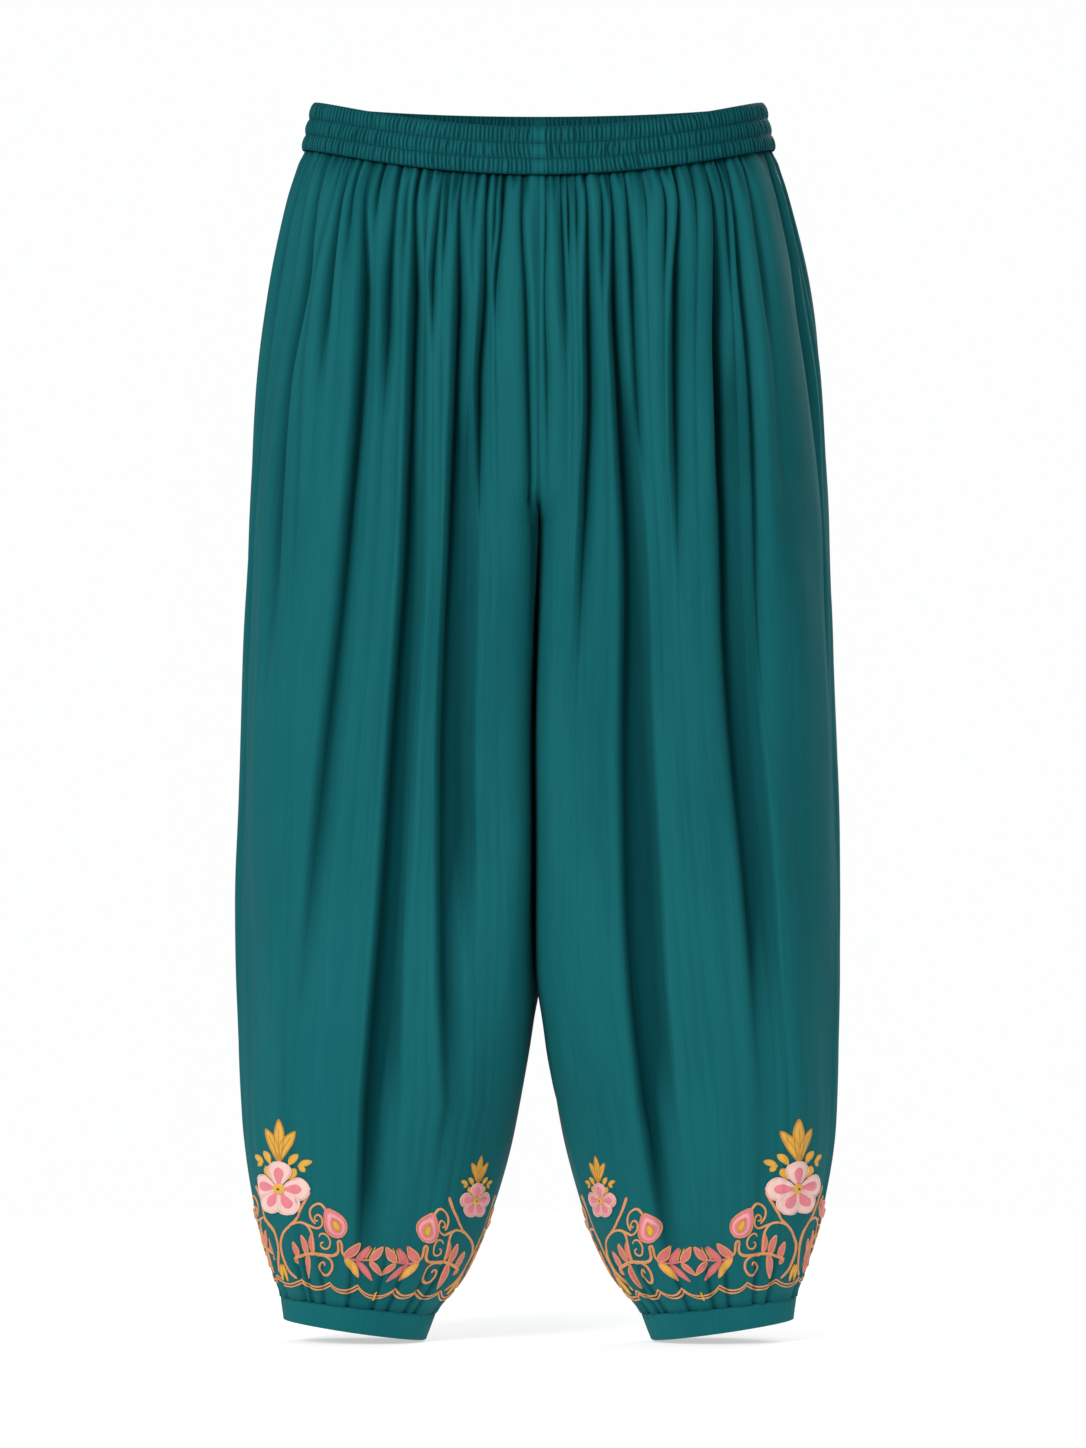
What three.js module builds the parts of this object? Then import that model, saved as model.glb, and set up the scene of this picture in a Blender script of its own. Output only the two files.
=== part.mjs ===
// Gathered harem trousers with a shirred waistband and plain cuffs, filled out as if worn.
// Millimetres, +Z up. The origin is the middle of the waist opening, at the height of the middle
// of the waistband's sides. The front faces -Y and the wearer's left leg is at +X.

import * as THREE from 'three';

// Driving sizes
const RIM_HEIGHT = 19;
const WAIST_SEAM = -18;
const CROTCH = -316;
const CUFF_SEAM = -922.7;
const RIM_HALF_WIDTH = 178;
const RIM_HALF_DEPTH = 97;
const FRONT_DIP = 26;
const BACK_DIP = 3;
const PANEL_WALL = 2.4;
const BAND_WALL = 1.8;
const CUFF_WALL = 2.2;
const SEAM_GAP = 0.3;

// Horizontal sections of a leg at the height z of its side seam. half is the reach to the side,
// clear the distance from the centre plane to the inner side below the crotch, front and back
// are the half depths, and square is the exponent of the oval, 2 for an ellipse.
const SECTIONS = [
  { z: -18, half: 186.5, clear: 0.15, front: 100, back: 100, square: 2.0 },
  { z: -57, half: 196.0, clear: 0.15, front: 114, back: 117, square: 2.05 },
  { z: -120, half: 208.6, clear: 0.15, front: 128, back: 134, square: 2.2 },
  { z: -215, half: 220.4, clear: 0.15, front: 138, back: 146, square: 2.45 },
  { z: -316, half: 227.0, clear: 0.15, front: 140, back: 144, square: 2.5 },
  { z: -400, half: 231.2, clear: 1.0, front: 138, back: 140, square: 2.45 },
  { z: -531, half: 235.0, clear: 1.0, front: 133, back: 134, square: 2.4 },
  { z: -657, half: 237.0, clear: 1.6, front: 124, back: 125, square: 2.4 },
  { z: -720, half: 235.8, clear: 7.0, front: 115, back: 116, square: 2.4 },
  { z: -784, half: 233.0, clear: 17.5, front: 102, back: 103, square: 2.4 },
  { z: -847, half: 224.4, clear: 36.0, front: 80, back: 81, square: 2.35 },
  { z: -890, half: 214.8, clear: 56.0, front: 60, back: 60, square: 2.2 },
  { z: -922.7, half: 203.8, clear: 81.0, front: 41, back: 41, square: 2.0 },
];

// The inner sides of the legs lean on each other along a plane turned a little about the
// vertical, and the inseam turns to the front on the way down.
const INNER_REACH_POWER = 0.85;
const LEAN = { amount: 0.045, full: CROTCH - 40, until: -657, gone: -800 };
const INSEAM_TURN = THREE.MathUtils.degToRad(16);
const INSEAM_TURN_START = -330;
const INSEAM_TURN_END = -600;

// The cuffs slope: their inner ends hang lower than their outer ends.
const CUFF_TILT = 13.3;
const TILT_START = -700;
const CUFF_OUTER_DROP = 18.2;
const CUFF_INNER_DROP = 21;
const CUFF_BOTTOM = { outer: 201.5, inner: 89, depth: 40 };
const CUFF_COLUMNS = 36;

// Heights of the rows of points on a panel, measured at the side seam.
const LEVELS = [
  WAIST_SEAM - SEAM_GAP, -27, -46, -80, -122, -168, -215, -262, -295, CROTCH, -365, -430,
  -500, -575, -650, -715, -768, -815, -850, -880, -903, CUFF_SEAM,
];

// Stretches of height, below the waist seam, over which a gather reaches its depth and width.
const GATHER_RISE = 75;
const GATHER_SPREAD = 150;
const HEAD_SHARE = 0.14;
const HEAD_HALF = 3.3;
const SHORT_GATHER = { deep: 5, half: 4.6, reach: 62, reachStep: 21, reachKinds: 4, stride: 3 };
const FADE_LENGTH = 90;
const STEEPEST = 1.6;

// How columns of points are laid: a gather shallower than deadDepth needs no valley, a shoulder
// takes at most shoulderShare of the way to the next gather, and cloth wider than wideGap between
// two gathers gets more columns, which keep clear of the shoulders by the shares before and after.
const COLUMNS = { deadDepth: 0.5, shoulderShare: 0.4, wideGap: 26, before: 0.6, after: 0.5 };
const KEYS_PER_GATHER = 4;
const LAST_KEY = 4000;
const NEAREST_EDGE = 0.015;
const NORMAL_STEP = 1e-3;
const LENGTH_STEP = 5e-3;

// Small gathers where the leg is drawn in to the cuff.
const CUFF_GATHER = { deep: 3.6, half: 4.4, rise: 30, first: -868, every: 2 };

// Heights at which the paths of the folds are given.
const STATIONS = { head: -50, hip: -118, lap: -205, thigh: -375, knee: -610, shin: -765 };

// Folds from the centre to the side. head to shin are distances from the centre plane, seen from
// the front, at the heights in STATIONS. deep is the depth at the lap, low at the knee, end the
// height where the fold dies out, half its half width, lean how much further it spreads to the
// side than to the centre, and short the number of short gathers before the next fold.
const FOLD_COLUMNS = [
  'head', 'hip', 'lap', 'thigh', 'knee', 'shin', 'deep', 'low', 'end', 'half', 'lean', 'short',
];
const FOLDS = {
  front_right: [
    [  14,   10,    9,   12,   14,   24,    6,    0, -330,    7,    0,    1],
    [  28,   33,   32,   28,   24,   34,    7,    0, -165,    6,    0,    1],
    [  41,   42,   46,   47,   42,   48,   13,    5, -650,    9, -0.3,    1],
    [  62,   62,   64,   66,   70,   69,   15,    9, -850,   11, -0.35,    1],
    [  78,   82,   81,   83,   92,   98,    8,    0, -190,    7,    0,    1],
    [  96,   95,   96,   99,  114,  131,   15,   11, -880,   12,  0.2,    1],
    [ 112,  117,  116,  124,  145,  154,   10,    0, -250,    8,    0,    1],
    [ 136,  137,  140,  152,  177,  190,   15,    7, -730,   11,  0.2,    1],
    [ 154,  163,  170,  184,  200,  206,    9,    0, -230,    8,    0,    0],
    [ 173,  182,  196,  208,  218,  219,   11,    3, -470,   10,    0,    2],
    [ 189,  203,  215,  227,  234,  232,   12,    5, -600,   10,    0,    2],
  ],
  front_left: [
    [   6,    5,    7,    9,   10,   20,    5,    0, -280,    6,    0,    0],
    [  18,   20,   23,   22,   22,   30,    6,    0, -200,    6,    0,    2],
    [  38,   38,   39,   32,   36,   44,   14,    2, -450,   10,  0.2,    1],
    [  58,   58,   61,   69,   74,   83,   15,   11, -900,   11, 0.35,    0],
    [  70,   73,   76,   87,  101,  109,   11,    7, -800,    9, -0.3,    2],
    [ 110,  107,  106,  110,  126,  140,   12,    3, -400,   10,    0,    1],
    [ 136,  139,  140,  144,  165,  175,   15,    8, -790,   11,  0.2,    1],
    [ 153,  159,  164,  170,  186,  196,   10,    5, -620,    9,    0,    0],
    [ 166,  175,  184,  195,  206,  210,    8,    0, -180,    7,    0,    1],
    [ 187,  201,  213,  225,  232,  230,   13,    4, -540,   11,    0,    2],
  ],
  back_left: [
    [   9,    8,   10,   12,   12,   22,    6,    0, -300,    7,    0,    1],
    [  31,   30,   29,   29,   31,   36,   13,    3, -480,   10,  0.2,    1],
    [  52,   54,   55,   57,   60,   64,   15,   10, -860,   11, -0.3,    1],
    [  71,   74,   76,   80,   88,   94,    8,    0, -230,    8,    0,    1],
    [  92,   94,   98,  103,  118,  128,   15,    9, -820,   11,  0.2,    1],
    [ 115,  119,  124,  131,  146,  155,   11,    3, -420,    9,    0,    1],
    [ 137,  142,  149,  158,  174,  184,   14,    6, -700,   11, -0.2,    1],
    [ 161,  170,  179,  190,  203,  208,    9,    2, -330,    8,    0,    2],
    [ 186,  200,  212,  223,  230,  229,   12,    6, -640,   10,    0,    2],
  ],
  back_right: [
    [   7,    9,    9,   10,   11,   21,    5,    0, -270,    6,    0,    1],
    [  27,   26,   24,   26,   29,   37,    9,    0, -260,    8,    0,    1],
    [  46,   47,   47,   50,   55,   60,   15,    9, -800,   11,  0.3,    1],
    [  68,   71,   74,   80,   90,   98,   12,    5, -600,   10,    0,    1],
    [  90,   93,   96,  101,  112,  120,    9,    0, -300,    8,    0,    1],
    [ 111,  114,  117,  126,  142,  152,   15,   10, -870,   12, -0.2,    1],
    [ 134,  140,  146,  155,  170,  178,   10,    2, -380,    9,    0,    1],
    [ 158,  166,  176,  187,  200,  206,   12,    5, -560,   10,  0.2,    2],
    [ 187,  202,  214,  226,  233,  231,   11,    3, -460,   10,    0,    2],
  ],
};

// Ribs of the shirred waistband. A channel lies between two rows of stitching.
const BAND = { ribs: 33, channels: 3, proud: 2, pinch: 0.6, arcSteps: 720 };

const FRONT = 1;
const BACK = -1;
const LEFT = 1;
const RIGHT = -1;

function smoothstep(from, to, value) {
  const t = THREE.MathUtils.clamp((value - from) / (to - from), 0, 1);
  return t * t * (3 - 2 * t);
}

// Value of a column of a table whose rows go down in z, as a smooth curve that never overshoots.
function sample(table, column, z) {
  const last = table.length - 1;
  if (z >= table[0].z) return table[0][column];
  if (z <= table[last].z) return table[last][column];
  const below = table.findIndex((row) => row.z <= z);
  const step = (i) => table[i + 1].z - table[i].z;
  const rate = (i) => (table[i + 1][column] - table[i][column]) / step(i);
  const slope = (i) => {
    if (i === 0) return rate(0);
    if (i === last) return rate(last - 1);
    const product = rate(i - 1) * rate(i);
    return product > 0 ? (2 * product) / (rate(i - 1) + rate(i)) : 0;
  };
  const i = below - 1;
  const h = step(i);
  const t = (z - table[i].z) / h;
  const t2 = t * t;
  const t3 = t2 * t;
  return (2 * t3 - 3 * t2 + 1) * table[i][column] + (t3 - 2 * t2 + t) * h * slope(i)
    + (3 * t2 - 2 * t3) * table[i + 1][column] + (t3 - t2) * h * slope(i + 1);
}

// The oval of a leg at height z. Above the crotch it reaches past the centre plane by inner and
// is cut there, at the angle start. Below, start is where the inseam runs.
function legSection(z) {
  const half = sample(SECTIONS, 'half', z);
  const square = sample(SECTIONS, 'square', z);
  const above = z > CROTCH;
  const rise = (z - CROTCH) / (WAIST_SEAM - CROTCH);
  const inner = above
    ? half * Math.min(1, rise) ** INNER_REACH_POWER
    : -sample(SECTIONS, 'clear', z);
  const centre = (half - inner) / 2;
  const radius = (half + inner) / 2;
  const crossing = Math.acos((centre / radius) ** (square / 2));
  const turn = INSEAM_TURN * smoothstep(INSEAM_TURN_START, INSEAM_TURN_END, z);
  return {
    z, half, centre, radius, above, power: 2 / square,
    front: sample(SECTIONS, 'front', z),
    back: sample(SECTIONS, 'back', z),
    start: above ? { [FRONT]: crossing, [BACK]: crossing } : { [FRONT]: turn, [BACK]: -turn },
    lean: LEAN.amount * smoothstep(CROTCH, LEAN.full, z) * smoothstep(LEAN.gone, LEAN.until, z),
  };
}

// Point of the unfolded oval. across runs from 0 at the centre seam or inseam to 1 at the side.
function ovalPoint(section, side, face, across) {
  const start = section.start[face];
  const angle = start + across * (Math.PI - start);
  const cos = Math.cos(angle);
  const sin = Math.sin(angle);
  const depth = face === FRONT ? section.front : section.back;
  const otherDepth = face === FRONT ? section.back : section.front;
  const reach = sin < 0 ? otherDepth : depth;
  const y = -face * Math.sign(sin) * reach * Math.abs(sin) ** section.power;
  const x = section.centre - section.radius * Math.sign(cos) * Math.abs(cos) ** section.power;
  return new THREE.Vector2(side * x + section.lean * y * (1 + cos) / 2, y);
}

// Outward direction of the unfolded oval, level with the ground.
function ovalNormal(section, side, face, across) {
  const from = ovalPoint(section, side, face, Math.max(0, across - NORMAL_STEP));
  const to = ovalPoint(section, side, face, Math.min(1, across + NORMAL_STEP));
  const along = to.sub(from).normalize();
  return new THREE.Vector2(along.y, -along.x).multiplyScalar(side * face);
}

// Length of the unfolded oval for each unit across, near one place.
function lengthAcross(section, side, face, across) {
  const low = Math.max(0, across - LENGTH_STEP);
  const high = Math.min(1, across + LENGTH_STEP);
  const from = ovalPoint(section, side, face, low);
  const to = ovalPoint(section, side, face, high);
  return from.distanceTo(to) / (high - low);
}

// Where a distance from the centre plane, seen from the front, lies across a panel.
function acrossAt(section, face, distance) {
  const share = THREE.MathUtils.clamp((section.centre - distance) / section.radius, -1, 1);
  const cos = Math.sign(share) * Math.abs(share) ** (1 / section.power);
  const start = section.start[face];
  const across = (Math.acos(cos) - start) / (Math.PI - start);
  return THREE.MathUtils.clamp(across, NEAREST_EDGE, 1 - NEAREST_EDGE);
}

// Height of a point of a panel whose row meets the side seam at level.
function heightOf(section, level, face, across) {
  const start = section.start[face];
  const angle = start + across * (Math.PI - start);
  const toCentre = Math.cos(across * Math.PI / 2) ** 2;
  const dip = (face === FRONT ? FRONT_DIP : BACK_DIP) * smoothstep(CROTCH, WAIST_SEAM, level);
  const tilt = CUFF_TILT * smoothstep(TILT_START, CUFF_SEAM, level);
  return level - dip * toCentre - tilt * (1 + Math.cos(angle)) / 2;
}

// All the gathers of a panel in order, long folds and the short gathers between them. The path
// of each gives its place across the panel at any level.
function gatherLines(name, face) {
  const foldPath = (fold) => {
    const table = Object.entries(STATIONS).map(([station, z]) => ({ z, distance: fold[station] }));
    return (level) => {
      const height = THREE.MathUtils.clamp(level, STATIONS.shin, STATIONS.head);
      return acrossAt(legSection(height), face, sample(table, 'distance', height));
    };
  };
  const atSide = () => 1;
  const folds = FOLDS[name].map((row) => {
    const fold = Object.fromEntries(FOLD_COLUMNS.map((column, index) => [column, row[index]]));
    return { ...fold, path: foldPath(fold) };
  });
  const lines = [];
  folds.forEach((fold, index) => {
    lines.push(fold);
    const next = index + 1 < folds.length ? folds[index + 1].path : atSide;
    for (let i = 1; i <= fold.short; i += 1) {
      const kind = (lines.length * SHORT_GATHER.stride) % SHORT_GATHER.reachKinds;
      const share = i / (fold.short + 1);
      lines.push({
        deep: SHORT_GATHER.deep,
        low: 0,
        half: SHORT_GATHER.half,
        lean: 0,
        end: WAIST_SEAM - SHORT_GATHER.reach - kind * SHORT_GATHER.reachStep,
        path: (level) => THREE.MathUtils.lerp(fold.path(level), next(level), share),
      });
    }
  });
  return lines;
}

function gatherHalfWidth(line, level) {
  const spread = smoothstep(WAIST_SEAM, WAIST_SEAM - GATHER_SPREAD, level);
  return THREE.MathUtils.lerp(HEAD_HALF, line.half, spread);
}

function gatherDepth(line, level) {
  const rise = THREE.MathUtils.lerp(
    HEAD_SHARE, 1, smoothstep(WAIST_SEAM, WAIST_SEAM - GATHER_RISE, level),
  );
  const run = smoothstep(STATIONS.lap, STATIONS.knee, level);
  const fade = smoothstep(line.end, line.end + FADE_LENGTH, level);
  const depth = THREE.MathUtils.lerp(line.deep, line.low, run) * rise * fade;
  return Math.min(depth, STEEPEST * gatherHalfWidth(line, level));
}

function cuffGatherDepth(index, level) {
  const drawn = smoothstep(CUFF_GATHER.first, CUFF_GATHER.first - CUFF_GATHER.rise, level);
  return index % CUFF_GATHER.every > 0 ? 0 : CUFF_GATHER.deep * drawn;
}

// The gathers at one level: place, depth and half widths to either side.
function gathersAt(lines, section, side, face, level) {
  return lines.map((line, index) => {
    const across = line.path(level);
    const scale = lengthAcross(section, side, face, across);
    const cuff = cuffGatherDepth(index, level);
    const half = cuff > 0 ? CUFF_GATHER.half : gatherHalfWidth(line, level);
    return {
      key: KEYS_PER_GATHER * (index + 1),
      across,
      depth: Math.max(cuff, gatherDepth(line, level)),
      before: half * (1 - line.lean) / scale,
      after: half * (1 + line.lean) / scale,
    };
  });
}

// How far the cloth lies inside the oval: sharp valleys between round crests.
function foldDepth(gathers, across) {
  return gathers.reduce((sum, gather) => {
    const width = across < gather.across ? gather.before : gather.after;
    const share = Math.min(1, Math.abs(across - gather.across) / width);
    return sum + gather.depth * (1 - Math.sin(share * Math.PI / 2));
  }, 0);
}

// Places of the columns of one row: both edges, a valley and two shoulders for each gather, and
// the lines of gathers that have died out where the cloth between two folds is wide.
function columnsAt(gathers, scale) {
  const alive = gathers.filter((gather) => gather.depth > COLUMNS.deadDepth);
  const dead = gathers.filter((gather) => gather.depth <= COLUMNS.deadDepth);
  const room = COLUMNS.wideGap / scale;
  const atStart = { key: 0, across: 0, after: 0 };
  const atSide = { key: LAST_KEY, across: 1, before: 0 };
  const columns = [{ key: atStart.key, across: 0 }];
  let last = atStart;
  [...alive, atSide].forEach((next) => {
    const widest = COLUMNS.shoulderShare * (next.across - last.across);
    const from = last.across + Math.min(last.after, widest);
    const to = next.across - Math.min(next.before, widest);
    if (last !== atStart) columns.push({ key: last.key + 1, across: from });
    let reached = from;
    dead.forEach(({ key, across }) => {
      if (across - reached > room * COLUMNS.before && to - across > room * COLUMNS.after) {
        columns.push({ key, across });
        reached = across;
      }
    });
    if (next !== atSide) columns.push({ key: next.key - 1, across: to });
    columns.push({ key: next.key, across: next.across });
    last = next;
  });
  return columns;
}

// A closed solid, made of rows of numbered points that are joined strip by strip.
class Solid {
  constructor(flipped) {
    this.flipped = flipped;
    this.positions = [];
    this.faces = [];
  }

  add(x, y, z) {
    this.positions.push(x, y, z);
    return this.positions.length / 3 - 1;
  }

  face(a, b, c) {
    this.faces.push(...(this.flipped ? [a, c, b] : [a, b, c]));
  }

  point(id) {
    return new THREE.Vector3().fromArray(this.positions, id * 3);
  }

  // Joins an upper row to a lower one. Points with equal keys face each other, and the longer
  // row fans out in between. The faces look at a viewer who sees the rows run to the right.
  strip(upper, lower) {
    let i = 0;
    let j = 0;
    while (i < upper.length - 1 || j < lower.length - 1) {
      const above = i < upper.length - 1 ? upper[i + 1] : null;
      const below = j < lower.length - 1 ? lower[j + 1] : null;
      if (above && below && above.key === below.key) {
        this.face(upper[i].id, lower[j].id, above.id);
        this.face(above.id, lower[j].id, below.id);
        i += 1;
        j += 1;
      } else if (above && (!below || above.key < below.key)) {
        this.face(upper[i].id, lower[j].id, above.id);
        i += 1;
      } else {
        this.face(upper[i].id, lower[j].id, below.id);
        j += 1;
      }
    }
  }

  mesh(name, material) {
    const geometry = new THREE.BufferGeometry();
    geometry.setAttribute('position', new THREE.Float32BufferAttribute(this.positions, 3));
    geometry.setIndex(this.faces);
    geometry.computeVertexNormals();
    const mesh = new THREE.Mesh(geometry, material);
    mesh.name = name;
    return mesh;
  }
}

// Closes a wall from the rows of its outer and inner skins. The inner skin may have fewer rows.
function closeWall(solid, outer, inner) {
  const edge = (rows, end) => rows.map((row, index) => (
    { key: index * (outer.length - 1) / (rows.length - 1), id: row.at(end).id }
  ));
  const skin = (rows) => rows.slice(1).forEach((row, index) => solid.strip(rows[index], row));
  skin(outer);
  solid.strip(inner[0], outer[0]);
  solid.strip(outer.at(-1), inner.at(-1));
  solid.flipped = !solid.flipped;
  skin(inner);
  solid.strip(edge(inner, 0), edge(outer, 0));
  solid.strip(edge(outer, -1), edge(inner, -1));
  solid.flipped = !solid.flipped;
}

// A front or back panel of one leg.
function legPanel(name, side, face, material) {
  const solid = new Solid(side * face < 0);
  const lines = gatherLines(name, face);
  const outer = [];
  const inner = [];
  LEVELS.forEach((level) => {
    const section = legSection(level);
    const gathers = gathersAt(lines, section, side, face, level);
    const columns = columnsAt(gathers, lengthAcross(section, side, face, 0.5));
    const skins = columns.map(({ key, across }) => {
      const base = ovalPoint(section, side, face, across);
      const normal = ovalNormal(section, side, face, across);
      const depth = across === 0 || across === 1 ? 0 : foldDepth(gathers, across);
      const z = heightOf(section, level, face, across);
      const skin = (inward) => {
        const at = normal.clone().multiplyScalar(-inward).add(base);
        if (section.above) at.x = side * Math.max(SEAM_GAP / 2, side * at.x);
        if (across === 1 || (across === 0 && !section.above)) at.y -= face * SEAM_GAP / 2;
        return { key, id: solid.add(at.x, at.y, z) };
      };
      return { out: skin(depth), in: skin(depth + PANEL_WALL) };
    });
    outer.push(skins.map((pair) => pair.out));
    inner.push(skins.map((pair) => pair.in));
  });
  closeWall(solid, outer, inner);
  return solid.mesh(name, material);
}

// Angles round the waist, from the centre front to the centre back, an even distance apart.
function evenAngles(count) {
  const lengths = [0];
  for (let i = 1; i <= BAND.arcSteps; i += 1) {
    const angle = (i - 0.5) * Math.PI / BAND.arcSteps;
    const across = RIM_HALF_WIDTH * Math.cos(angle);
    const deep = RIM_HALF_DEPTH * Math.sin(angle);
    lengths.push(lengths[i - 1] + Math.hypot(across, deep));
  }
  return Array.from({ length: count + 1 }, (_, i) => {
    if (i === count) return Math.PI;
    const index = lengths.findIndex((length) => length >= lengths.at(-1) * i / count);
    return index * Math.PI / BAND.arcSteps;
  });
}

// Half of the shirred waistband: ribs on the outside, a plain inside.
function waistbandHalf(name, side, material) {
  const solid = new Solid(side < 0);
  const rows = 2 * BAND.channels;
  const columns = 2 * BAND.ribs;
  const angles = evenAngles(columns);
  const place = (column, row, outward) => {
    const down = row / rows;
    const angle = angles[column];
    const sin = Math.sin(angle);
    const cos = Math.cos(angle);
    const halfWidth = THREE.MathUtils.lerp(RIM_HALF_WIDTH, SECTIONS[0].half, down);
    const halfDepth = THREE.MathUtils.lerp(RIM_HALF_DEPTH, SECTIONS[0].front, down);
    const normal = new THREE.Vector2(sin / halfWidth, -cos / halfDepth).normalize();
    const dip = (cos > 0 ? FRONT_DIP : BACK_DIP) * cos * cos;
    const x = halfWidth * sin + normal.x * outward;
    const y = -halfDepth * cos + normal.y * outward;
    const z = THREE.MathUtils.lerp(RIM_HEIGHT, WAIST_SEAM, down) - dip;
    const atSeam = column === 0 || column === columns;
    return solid.add(side * (atSeam ? SEAM_GAP / 2 : x), y, z);
  };
  const ribHeight = (column, row) => {
    const crest = column % 2 === 1;
    const plain = column < 2 || column > columns - 2;
    const stitched = row % 2 === 0;
    if (plain || !crest) return 0;
    return stitched ? BAND.pinch : BAND.proud;
  };
  const outer = [];
  for (let row = 0; row <= rows; row += 1) {
    outer.push(angles.map((_, column) => (
      { key: column, id: place(column, row, ribHeight(column, row)) }
    )));
  }
  const plainColumns = angles.map((_, column) => column).filter((column) => column % 2 === 0);
  const inner = [0, rows].map((row) => plainColumns.map((column) => (
    { key: column, id: place(column, row, -BAND_WALL) }
  )));
  closeWall(solid, outer, inner);
  return solid.mesh(name, material);
}

// A plain cuff: one closed ring round the ankle.
function cuff(name, side, material) {
  const solid = new Solid(side < 0);
  const top = legSection(CUFF_SEAM);
  const topInner = top.half - 2 * top.radius;
  const rings = [
    { down: 0, inward: 0 },
    { down: 1, inward: 0 },
    { down: 1, inward: CUFF_WALL },
    { down: 0, inward: CUFF_WALL },
  ];
  const loops = rings.map(({ down, inward }) => {
    const outerX = THREE.MathUtils.lerp(top.half, CUFF_BOTTOM.outer, down);
    const innerX = THREE.MathUtils.lerp(topInner, CUFF_BOTTOM.inner, down);
    const depth = THREE.MathUtils.lerp(top.front, CUFF_BOTTOM.depth, down) - inward;
    const centre = (outerX + innerX) / 2;
    const radius = (outerX - innerX) / 2 - inward;
    return Array.from({ length: CUFF_COLUMNS + 1 }, (_, column) => {
      const angle = column * 2 * Math.PI / CUFF_COLUMNS;
      const toInner = (1 + Math.cos(angle)) / 2;
      const drop = THREE.MathUtils.lerp(CUFF_OUTER_DROP, CUFF_INNER_DROP, toInner);
      const z = CUFF_SEAM - SEAM_GAP - CUFF_TILT * toInner - down * drop;
      const x = side * (centre - radius * Math.cos(angle));
      return { key: column, x, y: -depth * Math.sin(angle), z };
    });
  });
  const ids = loops.map((loop) => {
    const row = loop.slice(0, -1).map(({ key, x, y, z }) => ({ key, id: solid.add(x, y, z) }));
    return [...row, { key: CUFF_COLUMNS, id: row[0].id }];
  });
  ids.forEach((row, index) => solid.strip(row, ids[(index + 1) % ids.length]));
  return solid.mesh(name, material);
}

const teal = new THREE.MeshStandardMaterial({ color: 0x17696c, roughness: 0.7, metalness: 0 });

const trousers = new THREE.Group();
trousers.add(waistbandHalf('waistband_left', LEFT, teal));
trousers.add(waistbandHalf('waistband_right', RIGHT, teal));
trousers.add(legPanel('front_left', LEFT, FRONT, teal));
trousers.add(legPanel('front_right', RIGHT, FRONT, teal));
trousers.add(legPanel('back_left', LEFT, BACK, teal));
trousers.add(legPanel('back_right', RIGHT, BACK, teal));
trousers.add(cuff('cuff_left', LEFT, teal));
trousers.add(cuff('cuff_right', RIGHT, teal));

export default trousers;
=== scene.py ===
# Gathered harem trousers with a shirred waistband, plain cuffs and an embroidered border, filled
# out as if worn. Sizes are in millimetres, in the frame of the solids, until a mesh is made.

import math
from types import SimpleNamespace

import bpy
import numpy as np
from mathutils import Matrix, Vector


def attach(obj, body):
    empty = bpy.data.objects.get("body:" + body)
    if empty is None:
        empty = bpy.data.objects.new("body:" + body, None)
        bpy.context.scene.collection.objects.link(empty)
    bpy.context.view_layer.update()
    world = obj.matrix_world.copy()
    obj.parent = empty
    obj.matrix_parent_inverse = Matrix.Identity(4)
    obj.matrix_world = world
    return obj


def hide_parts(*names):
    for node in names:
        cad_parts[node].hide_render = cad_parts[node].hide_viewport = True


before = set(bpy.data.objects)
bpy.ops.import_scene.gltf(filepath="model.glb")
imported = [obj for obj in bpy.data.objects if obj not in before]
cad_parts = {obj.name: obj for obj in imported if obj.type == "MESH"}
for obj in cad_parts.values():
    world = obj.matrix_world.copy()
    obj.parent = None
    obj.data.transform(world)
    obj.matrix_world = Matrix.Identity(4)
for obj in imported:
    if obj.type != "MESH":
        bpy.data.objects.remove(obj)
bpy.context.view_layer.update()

MM = 0.001

# Driving sizes, those of the solids
RIM_HEIGHT = 19
WAIST_SEAM = -18
CROTCH = -316
CUFF_SEAM = -922.7
RIM_HALF_WIDTH = 178
RIM_HALF_DEPTH = 97
FRONT_DIP = 26
BACK_DIP = 3
BAND_WALL = 1.8
CUFF_WALL = 2.2
CLOTH = 0.6

# Horizontal sections of a leg at the height of its side seam
SECTION_COLUMNS = ("z", "half", "clear", "front", "back", "square")
SECTIONS = (
    (-18, 186.5, 0.15, 100, 100, 2.0),
    (-57, 196.0, 0.15, 114, 117, 2.05),
    (-120, 208.6, 0.15, 128, 134, 2.2),
    (-215, 220.4, 0.15, 138, 146, 2.45),
    (-316, 227.0, 0.15, 140, 144, 2.5),
    (-400, 231.2, 1.0, 138, 140, 2.45),
    (-531, 235.0, 1.0, 133, 134, 2.4),
    (-657, 237.0, 1.6, 124, 125, 2.4),
    (-720, 235.8, 7.0, 115, 116, 2.4),
    (-784, 233.0, 17.5, 102, 103, 2.4),
    (-847, 224.4, 36.0, 80, 81, 2.35),
    (-890, 214.8, 56.0, 60, 60, 2.2),
    (-922.7, 203.8, 81.0, 41, 41, 2.0),
)
INNER_REACH_POWER = 0.85
LEAN = SimpleNamespace(amount=0.045, full=CROTCH - 190, until=-657, gone=-800)
CROTCH_ROUND = 0.16
TOUCH = SimpleNamespace(squeeze=1.8, power=8, apart=0.05, until=-640, gone=-705)
SLIT = SimpleNamespace(right=5.0, left=2.0, start=CROTCH, full=CROTCH - 80, shallow=0.4, deep=0.7)
INNER_SQUARE = SimpleNamespace(most=9, start=-70, full=-230, until=-600, gone=-790)
INSEAM_TURN = math.radians(16)
INSEAM_TURN_START = -330
INSEAM_TURN_END = -600
CUFF_TILT = 13.3
TILT_START = -700
CUFF_OUTER_DROP = 18.2
CUFF_INNER_DROP = 21
CUFF_BOTTOM = SimpleNamespace(outer=201.5, inner=89, depth=40)

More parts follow.
